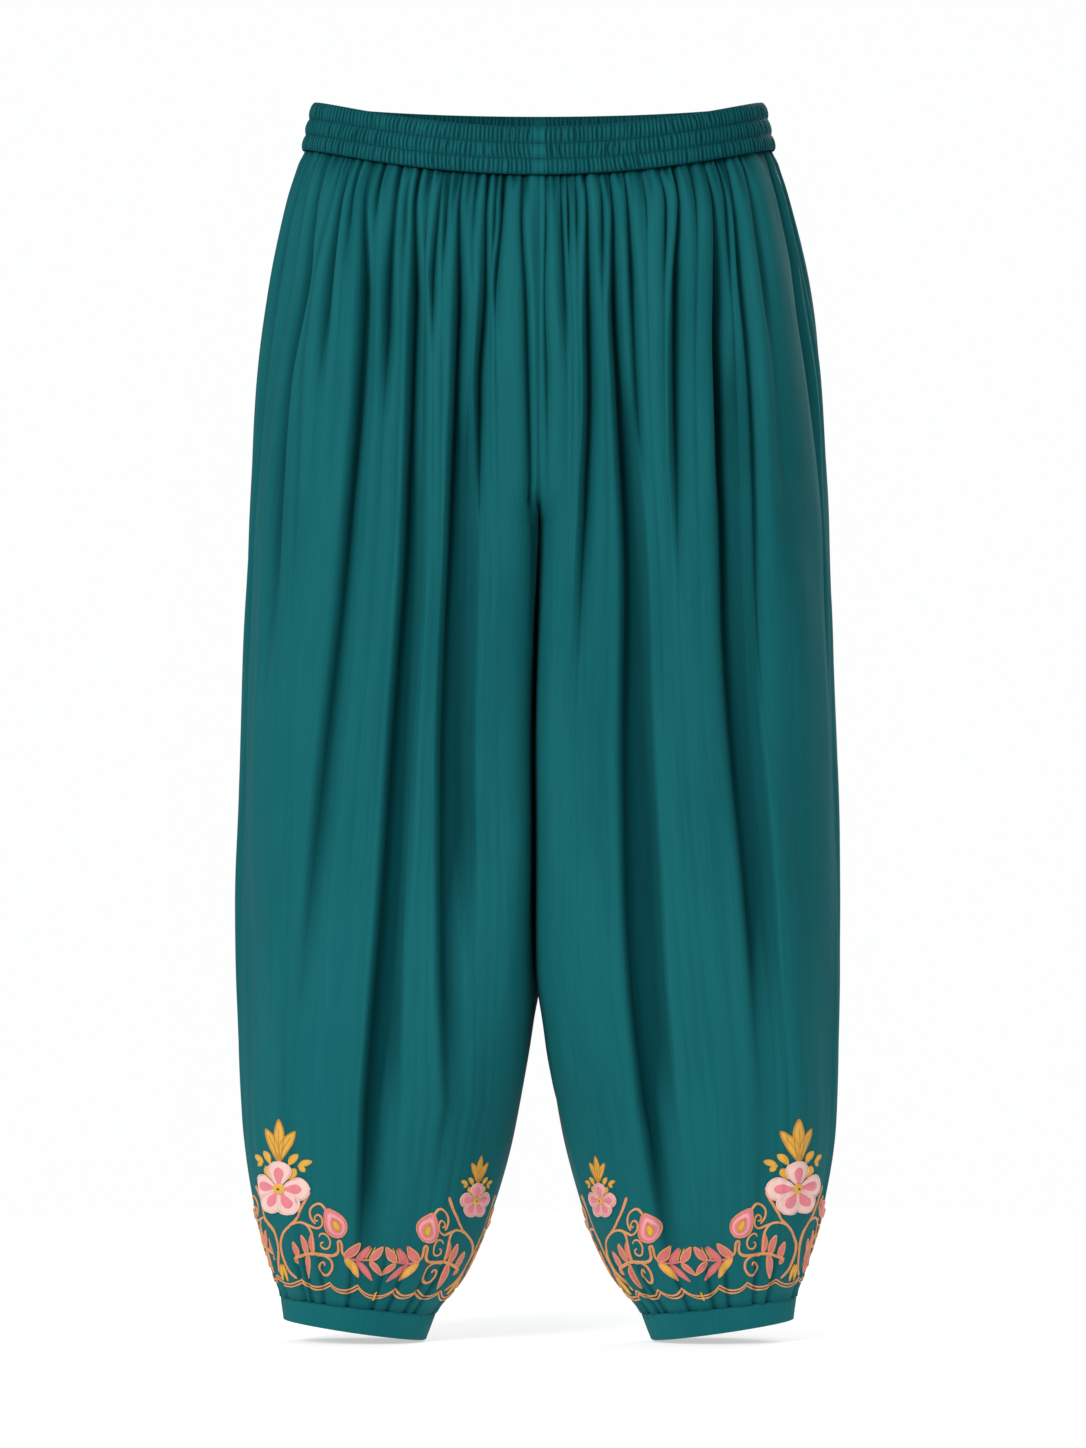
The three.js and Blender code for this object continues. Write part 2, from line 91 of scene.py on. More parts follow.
# Gathers
GATHER_RISE = 60
GATHER_SPREAD = 150
HEAD_SHARE = 0.5
HEAD_HALF = 2.6
SHORT_GATHER = SimpleNamespace(
    deep=5.4, half=4.6, reach=62, reach_step=21, reach_kinds=4, stride=3, off=(-0.22, 0.22),
    depths=(0.7, 1.35), halves=(0.8, 1.3), leans=(-0.4, 0.4),
)
LONGEST_FADE = 190
FADE_SHARE = 0.45
SHORT_FADE = 0.85
STEEPEST = 1.6
CUFF_GATHER = SimpleNamespace(deep=3.0, half=3.8, rise=30, first=-868, every=2)
NEAREST_EDGE = 0.015
SEEDS = SimpleNamespace(gathers=51, play=11, puckers=71, ribs=31)
NORMAL_STEP = 1e-3
LENGTH_STEP = 5e-3

# Folds from the centre to the side, as distances from the centre plane at the heights in STATIONS.
# deep is the depth at the lap, low at the knee, end where the fold dies out, half its half width,
# lean how much further it spreads to the side, and short the short gathers before the next fold.
STATIONS = (-50, -118, -205, -375, -610, -765)
LAP, KNEE = STATIONS[2], STATIONS[4]
FOLD_COLUMNS = ("deep", "low", "end", "half", "lean", "short")
FOLDS = {
    "front_right": (
        (13, 10, 8, 5, 6, 16, 12, 0, -430, 6, -0.2, 0),
        (28, 33, 32, 28, 24, 34, 7, 0, -165, 6, -0.2, 1),
        (41, 42, 46, 44, 42, 48, 13, 0, -360, 8, -0.3, 1),
        (62, 62, 64, 69, 70, 69, 15, 9, -850, 10, -0.45, 1),
        (78, 82, 81, 80, 88, 94, 8, 0, -190, 7, -0.2, 0),
        (86, 88, 88, 88, 98, 105, 2.4, 1.6, -700, 3, 0.5, 0),
        (97, 97, 98, 103, 116, 132, 15, 12, -955, 11, -0.45, 1),
        (112, 117, 118, 126, 145, 154, 10, 0, -250, 8, -0.2, 1),
        (136, 137, 140, 152, 177, 190, 15, 7, -730, 11, -0.4, 1),
        (154, 163, 170, 182, 192, 197, 9, 0, -230, 8, -0.2, 0),
        (160, 174, 182, 190, 198, 202, 2, 1, -420, 3, 0.5, 0),
        (173, 182, 196, 208, 218, 219, 11, 3, -470, 10, -0.3, 1),
        (189, 203, 215, 227, 234, 232, 12, 5, -600, 10, -0.2, 2),
    ),
    "front_left": (
        (6, 5, 7, 9, 10, 20, 5, 0, -280, 6, 0.2, 0),
        (18, 20, 23, 22, 22, 30, 6, 0, -200, 6, 0.2, 2),
        (38, 38, 39, 34, 36, 44, 14, 2, -480, 9, 0.4, 1),
        (58, 58, 61, 69, 74, 83, 15, 11, -945, 10, 0.45, 0),
        (70, 73, 76, 88, 101, 109, 9, 0, -330, 8, 0.2, 2),
        (110, 107, 106, 110, 126, 140, 12, 3, -400, 10, 0.3, 1),
        (136, 139, 140, 144, 165, 175, 15, 8, -790, 10, 0.4, 1),
        (153, 159, 165, 171, 187, 196, 9, 2, -520, 8, 0.2, 0),
        (166, 175, 184, 195, 206, 210, 8, 0, -180, 7, 0, 0),
        (187, 201, 213, 225, 232, 230, 13, 4, -540, 11, 0.2, 2),
    ),
    "back_left": (
        (9, 8, 10, 7, 12, 22, 9, 0, -420, 7, 0, 1),
        (31, 30, 29, 29, 31, 36, 13, 3, -480, 10, 0.3, 1),
        (52, 54, 55, 57, 60, 64, 15, 10, -860, 11, -0.4, 1),
        (71, 74, 76, 80, 88, 94, 8, 0, -230, 8, 0, 1),
        (92, 94, 98, 103, 118, 128, 15, 9, -820, 11, 0.4, 1),
        (115, 119, 124, 131, 146, 155, 11, 3, -420, 9, 0, 1),
        (137, 142, 149, 158, 174, 184, 14, 6, -700, 11, -0.2, 1),
        (161, 170, 179, 190, 203, 208, 9, 2, -330, 8, 0, 2),
        (186, 200, 212, 223, 230, 229, 12, 6, -640, 10, 0, 2),
    ),
    "back_right": (
        (7, 9, 9, 10, 11, 21, 5, 0, -270, 6, 0, 1),
        (27, 26, 24, 26, 29, 37, 9, 0, -260, 8, 0, 1),
        (46, 47, 47, 50, 55, 60, 15, 9, -800, 11, 0.3, 1),
        (68, 71, 74, 80, 90, 98, 12, 5, -600, 10, 0, 1),
        (90, 93, 96, 101, 112, 120, 9, 0, -300, 8, 0, 1),
        (111, 114, 117, 126, 142, 152, 15, 10, -870, 12, -0.4, 1),
        (134, 140, 146, 155, 170, 178, 10, 2, -380, 9, 0, 1),
        (158, 166, 176, 187, 200, 206, 12, 5, -560, 10, 0.2, 2),
        (187, 202, 214, 226, 233, 231, 11, 3, -460, 10, 0, 2),
    ),
}

# Sunk strips of cloth between two folds, counted from 0 in FOLDS: the deep fold at one edge, the
# one at the other, the depth of the strip, and the heights where it starts, is full, and ends.
STRIPS = {
    "front_right": ((3, 2, 7, -150, -260, -700), (6, 5, 7, -180, -300, -850)),
    "front_left": ((3, 4, 7.5, -140, -240, -860), (6, 7, 6, -130, -220, -760)),
    "back_left": ((2, 3, 6, -150, -270, -800), (6, 5, 6, -170, -280, -680)),
    "back_right": ((5, 4, 7, -150, -260, -820), (2, 3, 5.5, -170, -280, -700)),
}
STRIP_WALL = 3.2
STRIP_EDGE = 2.2
STRIP_RISE = 0.5
STRIP_FADE = 160

FRONT, BACK = 1, -1
LEFT, RIGHT = 1, -1
SIDES = {"left": LEFT, "right": RIGHT}
PANELS = {
    "front_left": (LEFT, FRONT),
    "front_right": (RIGHT, FRONT),
    "back_left": (LEFT, BACK),
    "back_right": (RIGHT, BACK),
}


def smoothstep(start, end, value):
    t = np.clip((value - start) / (end - start), 0, 1)
    return t * t * (3 - 2 * t)


def lerp(a, b, t):
    return a + (b - a) * t


class Curve:
    """A smooth curve through values at falling heights, which never overshoots."""

    def __init__(self, heights, values):
        self.z = np.array(heights, float)
        self.values = np.array(values, float)
        rate = np.diff(self.values) / np.diff(self.z)
        product = rate[:-1] * rate[1:]
        total = rate[:-1] + rate[1:]
        inner = np.where(product > 0, 2 * product / np.where(product > 0, total, 1), 0)
        self.slope = np.concatenate([rate[:1], inner, rate[-1:]])

    def __call__(self, z):
        z = np.clip(z, self.z[-1], self.z[0])
        i = np.clip(np.searchsorted(-self.z, -z) - 1, 0, len(self.z) - 2)
        h = self.z[i + 1] - self.z[i]
        t = (z - self.z[i]) / h
        start = (2 * t**3 - 3 * t**2 + 1) * self.values[i] + (t**3 - 2 * t**2 + t) * h * self.slope[i]
        end = (3 * t**2 - 2 * t**3) * self.values[i + 1] + (t**3 - t**2) * h * self.slope[i + 1]
        return start + end


SHAPE = {
    name: Curve([row[0] for row in SECTIONS], [row[i] for row in SECTIONS])
    for i, name in enumerate(SECTION_COLUMNS)
    if i > 0
}


def round_place(share, square):
    """The direction, as an angle, of the point of a rounded square at a share of its half width."""
    rest = np.clip(1 - np.abs(share) ** square, 0, 1) ** (1 / square)
    return np.arctan2(rest, share)


def leg_section(z):
    """The ovals of a leg at heights z. Above the crotch they are cut at the centre plane."""
    z = np.asarray(z, float)
    half, square = SHAPE["half"](z), SHAPE["square"](z)
    above = z > CROTCH
    rise = np.clip((z - CROTCH) / (WAIST_SEAM - CROTCH), 0, 1)
    reach = rise**INNER_REACH_POWER * smoothstep(0, CROTCH_ROUND, rise)
    inner = np.where(above, half * reach, -SHAPE["clear"](z))
    centre, radius = (half - inner) / 2, (half + inner) / 2
    fuller = smoothstep(INNER_SQUARE.start, INNER_SQUARE.full, z)
    fuller = fuller * smoothstep(INNER_SQUARE.gone, INNER_SQUARE.until, z)
    inner_square = lerp(square, INNER_SQUARE.most, fuller)
    crossing = round_place(np.clip(centre / radius, 0, 1), inner_square)
    turn = INSEAM_TURN * smoothstep(INSEAM_TURN_START, INSEAM_TURN_END, z)
    turn = np.arctan2(np.sin(turn) ** (2 / square), np.cos(turn) ** (2 / square))
    return SimpleNamespace(
        z=z, half=half, centre=centre, radius=radius, above=above, square=square,
        inner_square=inner_square,
        depth={FRONT: SHAPE["front"](z), BACK: SHAPE["back"](z)},
        start={FRONT: np.where(above, crossing, turn), BACK: np.where(above, crossing, -turn)},
        lean=LEAN.amount * smoothstep(CROTCH, LEAN.full, z) * smoothstep(LEAN.gone, LEAN.until, z),
    )


def angle_across(section, face, across):
    return section.start[face] + across * (math.pi - section.start[face])


def to_inner(section, face, across):
    """From 0 at the side seam to 1 at the innermost line of the leg."""
    return (1 + np.cos(angle_across(section, face, across))) / 2


def oval_point(section, side, face, across):
    """Points of the unfolded oval. across is 0 at the centre seam or inseam and 1 at the side."""
    angle = angle_across(section, face, across)
    cos, sin = np.cos(angle), np.sin(angle)
    square = np.where(cos > 0, section.inner_square, section.square)
    size = (np.abs(cos) ** square + np.abs(sin) ** square) ** (-1 / square)
    reach = np.where(sin < 0, section.depth[-face], section.depth[face])
    y = -face * reach * size * sin
    x = section.centre - section.radius * size * cos
    return side * x + section.lean * y * (1 + cos) / 2, y


def oval_step(section, side, face, across, step):
    low, high = np.clip(across - step, 0, 1), np.clip(across + step, 0, 1)
    x0, y0 = oval_point(section, side, face, low)
    x1, y1 = oval_point(section, side, face, high)
    return x1 - x0, y1 - y0, high - low


def oval_normal(section, side, face, across):
    x, y, _ = oval_step(section, side, face, across, NORMAL_STEP)
    length = np.hypot(x, y)
    return side * face * y / length, -side * face * x / length


def length_across(section, side, face, across):
    x, y, share = oval_step(section, side, face, across, LENGTH_STEP)
    return np.hypot(x, y) / share


def across_at(section, face, distance):
    """Where a distance from the centre plane, seen from the front, lies across a panel."""
    share = np.clip((section.centre - distance) / section.radius, -1, 1)
    angle = round_place(share, np.where(share > 0, section.inner_square, section.square))
    across = (angle - section.start[face]) / (math.pi - section.start[face])
    return np.clip(across, NEAREST_EDGE, 1 - NEAREST_EDGE)


def height_of(section, face, across):
    dip = (FRONT_DIP if face == FRONT else BACK_DIP) * smoothstep(CROTCH, WAIST_SEAM, section.z)
    tilt = CUFF_TILT * smoothstep(TILT_START, CUFF_SEAM, section.z)
    return section.z - dip * np.cos(across * math.pi / 2) ** 2 - tilt * to_inner(section, face, across)


def panel_chance(name, seed):
    return np.random.default_rng(sorted(PANELS).index(name) + seed)


def gather_lines(name, face, levels):
    """The long folds and the short gathers between them, with their places at the levels."""
    rng = panel_chance(name, SEEDS.gathers)
    heights = np.maximum(levels, STATIONS[-1])
    sections = leg_section(heights)
    narrowing = float(SHAPE["half"](WAIST_SEAM) / SHAPE["half"](STATIONS[0]))
    rows = []
    for row in FOLDS[name]:
        distance = Curve((WAIST_SEAM, *STATIONS), (row[0] * narrowing, *row[:6]))(heights)
        fold = dict(zip(FOLD_COLUMNS, row[6:]))
        place = across_at(sections, face, distance)
        fade = min(LONGEST_FADE, FADE_SHARE * (WAIST_SEAM - fold["end"]))
        rows.append(SimpleNamespace(place=place, fade=fade, **fold))
    lines = []
    for fold, following in zip(rows, rows[1:] + [None]):
        lines.append(fold)
        next_place = following.place if following else np.ones_like(heights)
        for i in range(1, fold.short + 1):
            kind = len(lines) * SHORT_GATHER.stride % SHORT_GATHER.reach_kinds
            share = (i + rng.uniform(*SHORT_GATHER.off)) / (fold.short + 1)
            reach = SHORT_GATHER.reach + kind * SHORT_GATHER.reach_step
            lines.append(SimpleNamespace(
                place=lerp(fold.place, next_place, share),
                deep=SHORT_GATHER.deep * rng.uniform(*SHORT_GATHER.depths), low=0,
                half=SHORT_GATHER.half * rng.uniform(*SHORT_GATHER.halves),
                lean=rng.uniform(*SHORT_GATHER.leans),
                end=WAIST_SEAM - reach, fade=SHORT_FADE * reach,
            ))
    return rows, lines


# How the cloth differs from the solids: soft valleys low down, notches under the band, round crests,
# undulations and fine creases. FOLD_SHADING and the shade of a notch set the painted shade of the folds.
EDGE_SHARPNESS = 0.55
LOW_SPREAD = 0.35
SOFT_VALLEY = SimpleNamespace(most=0.6, start=-260, full=-820)
FOLD_SHADING = SimpleNamespace(
    low=0.5, strip=1.3, sunk=7.2, seam=5, seam_reach=6, narrow=1.9, head=1.1, head_end=-85,
)
PUCKER = SimpleNamespace(
    first=2, apart=(4.6, 8.6), deep=3, half=2.0, foot=1.0, reaches=(16, 80), slants=(-0.05, 0.05),
    halves=(0.8, 1.2), strengths=(0.45, 1.1), shade=17, dark_end=-75,
)
CREST = SimpleNamespace(
    share=0.2, least=0.3, most=3, start=WAIST_SEAM + 6, full=-60, lower=-140, least_from=-420, end=-880,
)
UNDULATIONS = ((104, 1.5), (67, 1.2), (43, 0.8), (27, 0.45))
UNDULATION = SimpleNamespace(reaches=(330, 650), sway=1.3, calm=0.6, swell=0.4, swell_reach=0.7)
CREASE = SimpleNamespace(
    count=70, middles=(-840, -60), lengths=(60, 260), halves=(1.8, 4.2), depths=(-0.55, 0.7),
    slants=(-0.02, 0.02),
)
PLAY_FULL = (-75, -850)
SEAM_NOTCH = SimpleNamespace(deep=1.1, half=2.4, shade=6, line=1.1)
TUCK = SimpleNamespace(deep=1.9, reach=12, cuff_deep=-0.9, cuff_reach=5)
EDGE_FADE = 7
GAP_SHARES = (0, 0.06, 0.15, 0.3, 0.5, 0.7, 0.85, 0.94)
ALLOWANCE = SimpleNamespace(deep=2.7, height=4, sewn_at=1.1, turn=0.4, inner_turn=-0.2)

# Heights and the distance of the rows of points below each, closer where the cloth is gathered
ROW_STEPS = ((WAIST_SEAM - 0.3, 2), (-60, 3), (-130, 5), (-830, 2.6), (CUFF_SEAM, 0))


def fold_depth(lines, section, side, face, across):
    """How far the cloth lies inside the oval because of its gathers, and the painted shade of their
    folds.
    """
    z = section.z
    spread = smoothstep(WAIST_SEAM, WAIST_SEAM - GATHER_SPREAD, z)
    rise = lerp(HEAD_SHARE, 1, smoothstep(WAIST_SEAM, WAIST_SEAM - GATHER_RISE, z))
    run = smoothstep(LAP, KNEE, z)
    drawn = smoothstep(CUFF_GATHER.first, CUFF_GATHER.first - CUFF_GATHER.rise, z)
    soft = SOFT_VALLEY.most * smoothstep(SOFT_VALLEY.start, SOFT_VALLEY.full, z)
    total, dark = np.zeros_like(across), np.zeros_like(across)
    for index, line in enumerate(lines):
        place = line.place[:, None]
        half = lerp(HEAD_HALF, line.half, spread) * (1 + LOW_SPREAD * run)
        fade = smoothstep(line.end, line.end + line.fade, z)
        depth = np.minimum(lerp(line.deep, line.low, run) * rise * fade, STEEPEST * half)
        cuff = CUFF_GATHER.deep * drawn if index % CUFF_GATHER.every == 0 else 0 * drawn
        half = np.where(cuff > depth, lerp(half, CUFF_GATHER.half, drawn), half)
        depth = np.maximum(depth, cuff)
        scale = length_across(section, side, face, place)
        width = half * np.where(across < place, 1 - line.lean, 1 + line.lean) / scale
        share = np.clip(np.abs(across - place) / width, 0, 1)
        crisp = 1 - lerp(np.sin(share * math.pi / 2), share, EDGE_SHARPNESS)
        round_off = (1 + np.cos(share * math.pi)) / 2
        profile = lerp(crisp, round_off, soft)
        total += depth * profile
        dark += depth * profile ** lerp(FOLD_SHADING.narrow, 1, run)
    return total, dark


def strip_depth(strips, rows, section, side, face, across):
    """Strips of cloth that lie behind their neighbours, deeper along the fold they start from."""
    total = np.zeros_like(across)
    for start, finish, deep, top, full, end in strips:
        origin, edge = rows[start].place[:, None], rows[finish].place[:, None]
        direction = np.sign(edge - origin)
        scale = length_across(section, side, face, (origin + edge) / 2)
        run = (across - origin) * direction * scale
        width = np.abs(edge - origin) * scale
        level = smoothstep(top, full, section.z) * smoothstep(end, end + STRIP_FADE, section.z)
        wall = smoothstep(-STRIP_WALL, 0, run) * smoothstep(0, STRIP_EDGE, width - run)
        total = np.maximum(total, deep * level * wall * (1 - STRIP_RISE * np.clip(run / width, 0, 1)))
    return total


def surface_play(name, flow, z):
    """Soft undulations and fine creases that run down the cloth, positive inwards."""
    rng = panel_chance(name, SEEDS.play)
    total = np.zeros(np.broadcast(flow, z).shape)
    for wave, height in UNDULATIONS:
        turn, drift, beat = rng.uniform(0, 2 * math.pi, 3)
        reach = rng.uniform(*UNDULATION.reaches)
        sway = UNDULATION.sway * np.sin(2 * math.pi * z / reach + drift)
        beats = np.sin(2 * math.pi * z / (UNDULATION.swell_reach * reach) + beat)
        swell = UNDULATION.calm + UNDULATION.swell * beats
        total += height * swell * np.sin(2 * math.pi * flow / wave + turn + sway)
    for _ in range(CREASE.count):
        at, middle = rng.uniform(0, flow.max()), rng.uniform(*CREASE.middles)
        length, half = rng.uniform(*CREASE.lengths), rng.uniform(*CREASE.halves)
        deep, slant = rng.uniform(*CREASE.depths), rng.uniform(*CREASE.slants)
        along = np.clip(1 - ((z - middle) / length) ** 2, 0, 1) ** 2
        off = (flow - at - slant * (z - middle)) / half
        total += deep * along * np.exp(-off * off)
    return total


def cloth_levels():
    rows = []
    for (top, step), (bottom, _) in zip(ROW_STEPS, ROW_STEPS[1:]):
        rows.append(np.linspace(top, bottom, round((top - bottom) / step) + 1)[:-1])
    return np.concatenate(rows + [[CUFF_SEAM]])


class Panel:
    """The cloth of one front or back leg panel, as a grid of points on its outer side."""

    def __init__(self, name):
        self.name = name
        self.side, self.face = PANELS[name]
        self.levels = cloth_levels()
        rows, lines = gather_lines(name, self.face, self.levels)
        bounds = [np.zeros_like(self.levels), *(line.place for line in lines), np.ones_like(self.levels)]
        columns = [
            lerp(left, right, share)
            for left, right in zip(bounds, bounds[1:])
            for share in GAP_SHARES
        ]
        self.across = np.stack(columns + [bounds[-1]], axis=1)
        gaps = np.diff(np.stack(bounds, axis=1), axis=1)
        self.section = section = leg_section(self.levels[:, None])
        z = section.z
        scale = length_across(section, self.side, self.face, np.full_like(self.across, 0.5))
        lap_row = int(np.argmin(np.abs(self.levels - LAP)))
        self.flow = np.broadcast_to(self.across[lap_row] * scale[lap_row], self.across.shape)
        edge = np.minimum(self.across, 1 - self.across) * scale
        fade = smoothstep(0, EDGE_FADE, edge)
        ends = smoothstep(WAIST_SEAM, PLAY_FULL[0], z) * smoothstep(CUFF_SEAM, PLAY_FULL[1], z)
        depth, dark = fold_depth(lines, section, self.side, self.face, self.across)
        strips = strip_depth(STRIPS[name], rows, section, self.side, self.face, self.across)
        depth = np.maximum(depth, strips) * fade
        # Painted shade: the shade darkens the cloth's colour in the folds, sunk strips and notches.
        darker = 1 + FOLD_SHADING.low * smoothstep(LAP, KNEE, z)
        darker = darker + FOLD_SHADING.head * smoothstep(FOLD_SHADING.head_end, WAIST_SEAM, z)
        sunk = FOLD_SHADING.strip * strips * (strips / FOLD_SHADING.sunk) ** 2
        shade = (np.maximum(dark, strips) + sunk) * fade * darker
        notches = self.puckers(scale) * fade
        depth = depth + PUCKER.deep * notches
        shade = shade + PUCKER.shade * notches * smoothstep(PUCKER.dark_end, WAIST_SEAM, z)
        depth += surface_play(name, self.flow, z) * fade * ends
        depth -= self.crests(gaps, scale) * fade
        depth += TUCK.deep * (1 - smoothstep(WAIST_SEAM, WAIST_SEAM - TUCK.reach, z))
        depth += TUCK.cuff_deep * (1 - smoothstep(CUFF_SEAM, CUFF_SEAM + TUCK.cuff_reach, z))
        self.depth = depth + SEAM_NOTCH.deep * np.exp(-((edge / SEAM_NOTCH.half) ** 2))
        # Painted shade under the band, above the cuff and along the seam lines.
        seams = 1 - smoothstep(WAIST_SEAM, WAIST_SEAM - FOLD_SHADING.seam_reach, z)
        seams = seams + 1 - smoothstep(CUFF_SEAM, CUFF_SEAM + FOLD_SHADING.seam_reach, z)
        shade = shade + FOLD_SHADING.seam * seams
        self.shade = shade + SEAM_NOTCH.shade * np.exp(-((edge / SEAM_NOTCH.line) ** 2))
        self.points = self.skin(self.depth)

    def puckers(self, scale):
        """Small notches between the fingers of cloth under the band, from 0 to 1."""
        rng = panel_chance(self.name, SEEDS.puckers)
        head = np.broadcast_to(self.across[0] * scale[0], self.across.shape)
        below = WAIST_SEAM - self.section.z
        total = np.zeros(self.across.shape)
        at = rng.uniform(PUCKER.first, PUCKER.apart[1])
        while at < head[0, -1]:
            reach = rng.uniform(*PUCKER.reaches)
            half = lerp(PUCKER.half, PUCKER.foot, np.clip(below / reach, 0, 1))
            half = half * rng.uniform(*PUCKER.halves)
            off = (head - at - rng.uniform(*PUCKER.slants) * below) / half
            strength = rng.uniform(*PUCKER.strengths) * (1 - smoothstep(0, reach, below))
            total = np.maximum(total, strength * np.exp(-off * off))
            at += rng.uniform(*PUCKER.apart)
        return total

    def crests(self, gaps, scale):
        """Round crests between the gathers, flatter lower down."""
        z = self.section.z
        shares = np.sin(np.array(GAP_SHARES) * math.pi)
        width = gaps * scale[:, :1]
        proud = np.minimum(CREST.share * width, CREST.most)
        proud = (proud[:, :, None] * shares).reshape(len(gaps), -1)
        proud = np.concatenate([proud, 0 * proud[:, :1]], axis=1)
        flatter = lerp(1, CREST.least, smoothstep(CREST.lower, CREST.least_from, z))
        window = smoothstep(CREST.start, CREST.full, z) * flatter
        return proud * window * smoothstep(CUFF_SEAM, CREST.end, z)

    def skin(self, inward):
        """Points that lie inward of the unfolded oval."""
        section, side, face = self.section, self.side, self.face
        x, y = oval_point(section, side, face, self.across)
        nx, ny = oval_normal(section, side, face, self.across)
        x, y = x - nx * inward, y - ny * inward
        upper = side * np.where(self.across > 0, np.maximum(0, side * x), 0)
        x = np.where(section.above, upper, self.touching(x, y))
        x = x + side * self.slit(y)
        return np.stack([x, y, height_of(section, face, self.across)], axis=-1)

    def slit(self, y):
        """Widens the mouth of the gap between the legs, at the front and the back."""
        section = self.section
        shown = smoothstep(SLIT.start, SLIT.full, section.z)
        shown = shown * smoothstep(TOUCH.gone, TOUCH.until, section.z)
        mouth = smoothstep(SLIT.shallow, SLIT.deep, np.abs(y) / section.depth[self.face])
        half = SLIT.left if self.side == LEFT else SLIT.right
        return half * shown * mouth * to_inner(section, self.face, self.across) ** TOUCH.power

    def touching(self, x, y):
        """Below the crotch the inner sides of the legs are pressed flat against each other."""
        section = self.section
        inner = to_inner(section, self.face, self.across)
        plane = section.lean * y * inner
        clear = SHAPE["clear"](section.z)
        pressed = (clear + TOUCH.squeeze) * smoothstep(TOUCH.gone, TOUCH.until, section.z)
        away = self.side * (x - plane)
        closer = np.maximum(away - pressed * inner**TOUCH.power, np.minimum(away, TOUCH.apart))
        return plane + self.side * closer


def grid_faces(ids, flip):
    """Quads between neighbouring rows and columns of a table of point numbers."""
    a, b, c, d = ids[:-1, :-1], ids[1:, :-1], ids[1:, 1:], ids[:-1, 1:]
    quads = np.stack([a, b, c, d], axis=-1).reshape(-1, 4)
    return quads[:, ::-1] if flip else quads


def make_mesh(name, points, quads, material, uv, values=None):
    """A smooth mesh of quads. A quad that names a point twice becomes a triangle."""
    mesh = bpy.data.meshes.new(name)
    quads = np.asarray(quads, int)
    mesh.from_pydata((np.asarray(points) * MM).tolist(), [], trim(quads))
    mesh.polygons.foreach_set("use_smooth", np.ones(len(mesh.polygons), bool))
    layer = mesh.uv_layers.new(name="UVMap")
    corner = np.zeros(len(mesh.loops), int)
    mesh.loops.foreach_get("vertex_index", corner)
    layer.data.foreach_set("uv", np.asarray(uv, np.float32)[corner].ravel())
    for key, value in (values or {}).items():
        attribute = mesh.attributes.new(key, "FLOAT", "POINT")
        attribute.data.foreach_set("value", np.asarray(value, np.float32).ravel())
    mesh.materials.append(material)
    piece = bpy.data.objects.new(name, mesh)
    bpy.context.scene.collection.objects.link(piece)
    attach(piece, "root")
    return piece


def trim(quads):
    return [[point for i, point in enumerate(quad) if point != quad[i - 1]] for quad in quads.tolist()]


def rim_quads(fine, coarse, flip):
    """Joins an edge to another with half as many steps."""
    faces = []
    last = len(fine) - 1
    for i in range(len(coarse) - 1):
        a, b, c = (fine[min(2 * i + step, last)] for step in range(3))
        faces.append((a, b, coarse[i], coarse[i]))
        faces.append((b, c, coarse[i + 1], coarse[i]))
    quads = np.array(faces)
    return quads[:, ::-1] if flip else quads


def shell(panel, outer, inner):
    """Closes an outer skin with an inner one that has every second row and column."""
    rows = sorted(set(range(0, outer.shape[0], 2)) | {outer.shape[0] - 1})
    columns = sorted(set(range(0, outer.shape[1], 2)) | {outer.shape[1] - 1})
    inner = inner[np.ix_(rows, columns)]
    count = outer.shape[0] * outer.shape[1]
    out_ids = np.arange(count).reshape(outer.shape[:2])
    in_ids = count + np.arange(inner.shape[0] * inner.shape[1]).reshape(inner.shape[:2])
    flip = panel.side * panel.face < 0
    quads = [
        grid_faces(out_ids, flip),
        grid_faces(in_ids, not flip),
        rim_quads(out_ids[0], in_ids[0], not flip),
        rim_quads(out_ids[-1], in_ids[-1], flip),
        rim_quads(out_ids[:, 0], in_ids[:, 0], flip),
        rim_quads(out_ids[:, -1], in_ids[:, -1], not flip),
    ]
    points = np.concatenate([outer.reshape(-1, 3), inner.reshape(-1, 3)])
    return points, np.concatenate(quads), rows, columns


def leg_cloth(panel, material):
    """One panel as a thin shell, whose seam allowances turn in and end inside the band and the cuff."""
    tucked = panel.depth + ALLOWANCE.deep
    sewn = np.minimum(tucked, ALLOWANCE.sewn_at)

    def skin(inward, turned):
        ends, middle, turn = (panel.skin(depth + inward) for depth in (sewn, panel.depth, tucked))
        up, rise = np.array([0, 0, ALLOWANCE.height]), np.array([0, 0, turned])
        return np.concatenate([ends[:1] + up, turn[:1] + rise, middle, turn[-1:] - rise, ends[-1:] - up])

    outer, inner = skin(0, ALLOWANCE.turn), skin(CLOTH, ALLOWANCE.inner_turn)
    points, quads, rows, columns = shell(panel, outer, inner)
    pad = ((2, 2), (0, 0))
    # The panel's painted shade goes on the mesh as its fold attribute.
    fold = np.pad(panel.shade, pad, mode="edge")
    flow = np.pad(panel.flow, pad, mode="edge")
    level = np.pad(np.broadcast_to(panel.section.z, panel.flow.shape), pad, mode="edge")
    both = [np.concatenate([a.ravel(), a[np.ix_(rows, columns)].ravel()]) for a in (fold, flow, level)]
    uv = np.stack([both[1], both[2]], axis=1) * MM
    piece = make_mesh(panel.name + "_cloth", points, quads, material, uv, {"fold": both[0]})
    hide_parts(panel.name)
    return piece


# Waistband
BAND = SimpleNamespace(
    ribs=128, per_rib=6, channels=3, rows=7, proud=1.5, bulge=0.55, plain=4.2, arc_steps=720,
    puff=0.65, inside=0.35, crest=0.2, crest_height=0.5,
)
RIB = SimpleNamespace(
    jitter=0.16, strengths=(0.55, 1.0), plain=0.5, wander=0.35, waves=(23, 41), drifts=(2.1, 5),
)
BAND_SEAM = SimpleNamespace(deep=0.3, half=0.9)
# Painted shade in the rib valleys, at the rows of stitching, at the centre seam and on the band's inside
BAND_SHADE = SimpleNamespace(rib=23, flat_rib=0.35, stitches=7, seam=4, inside=3)


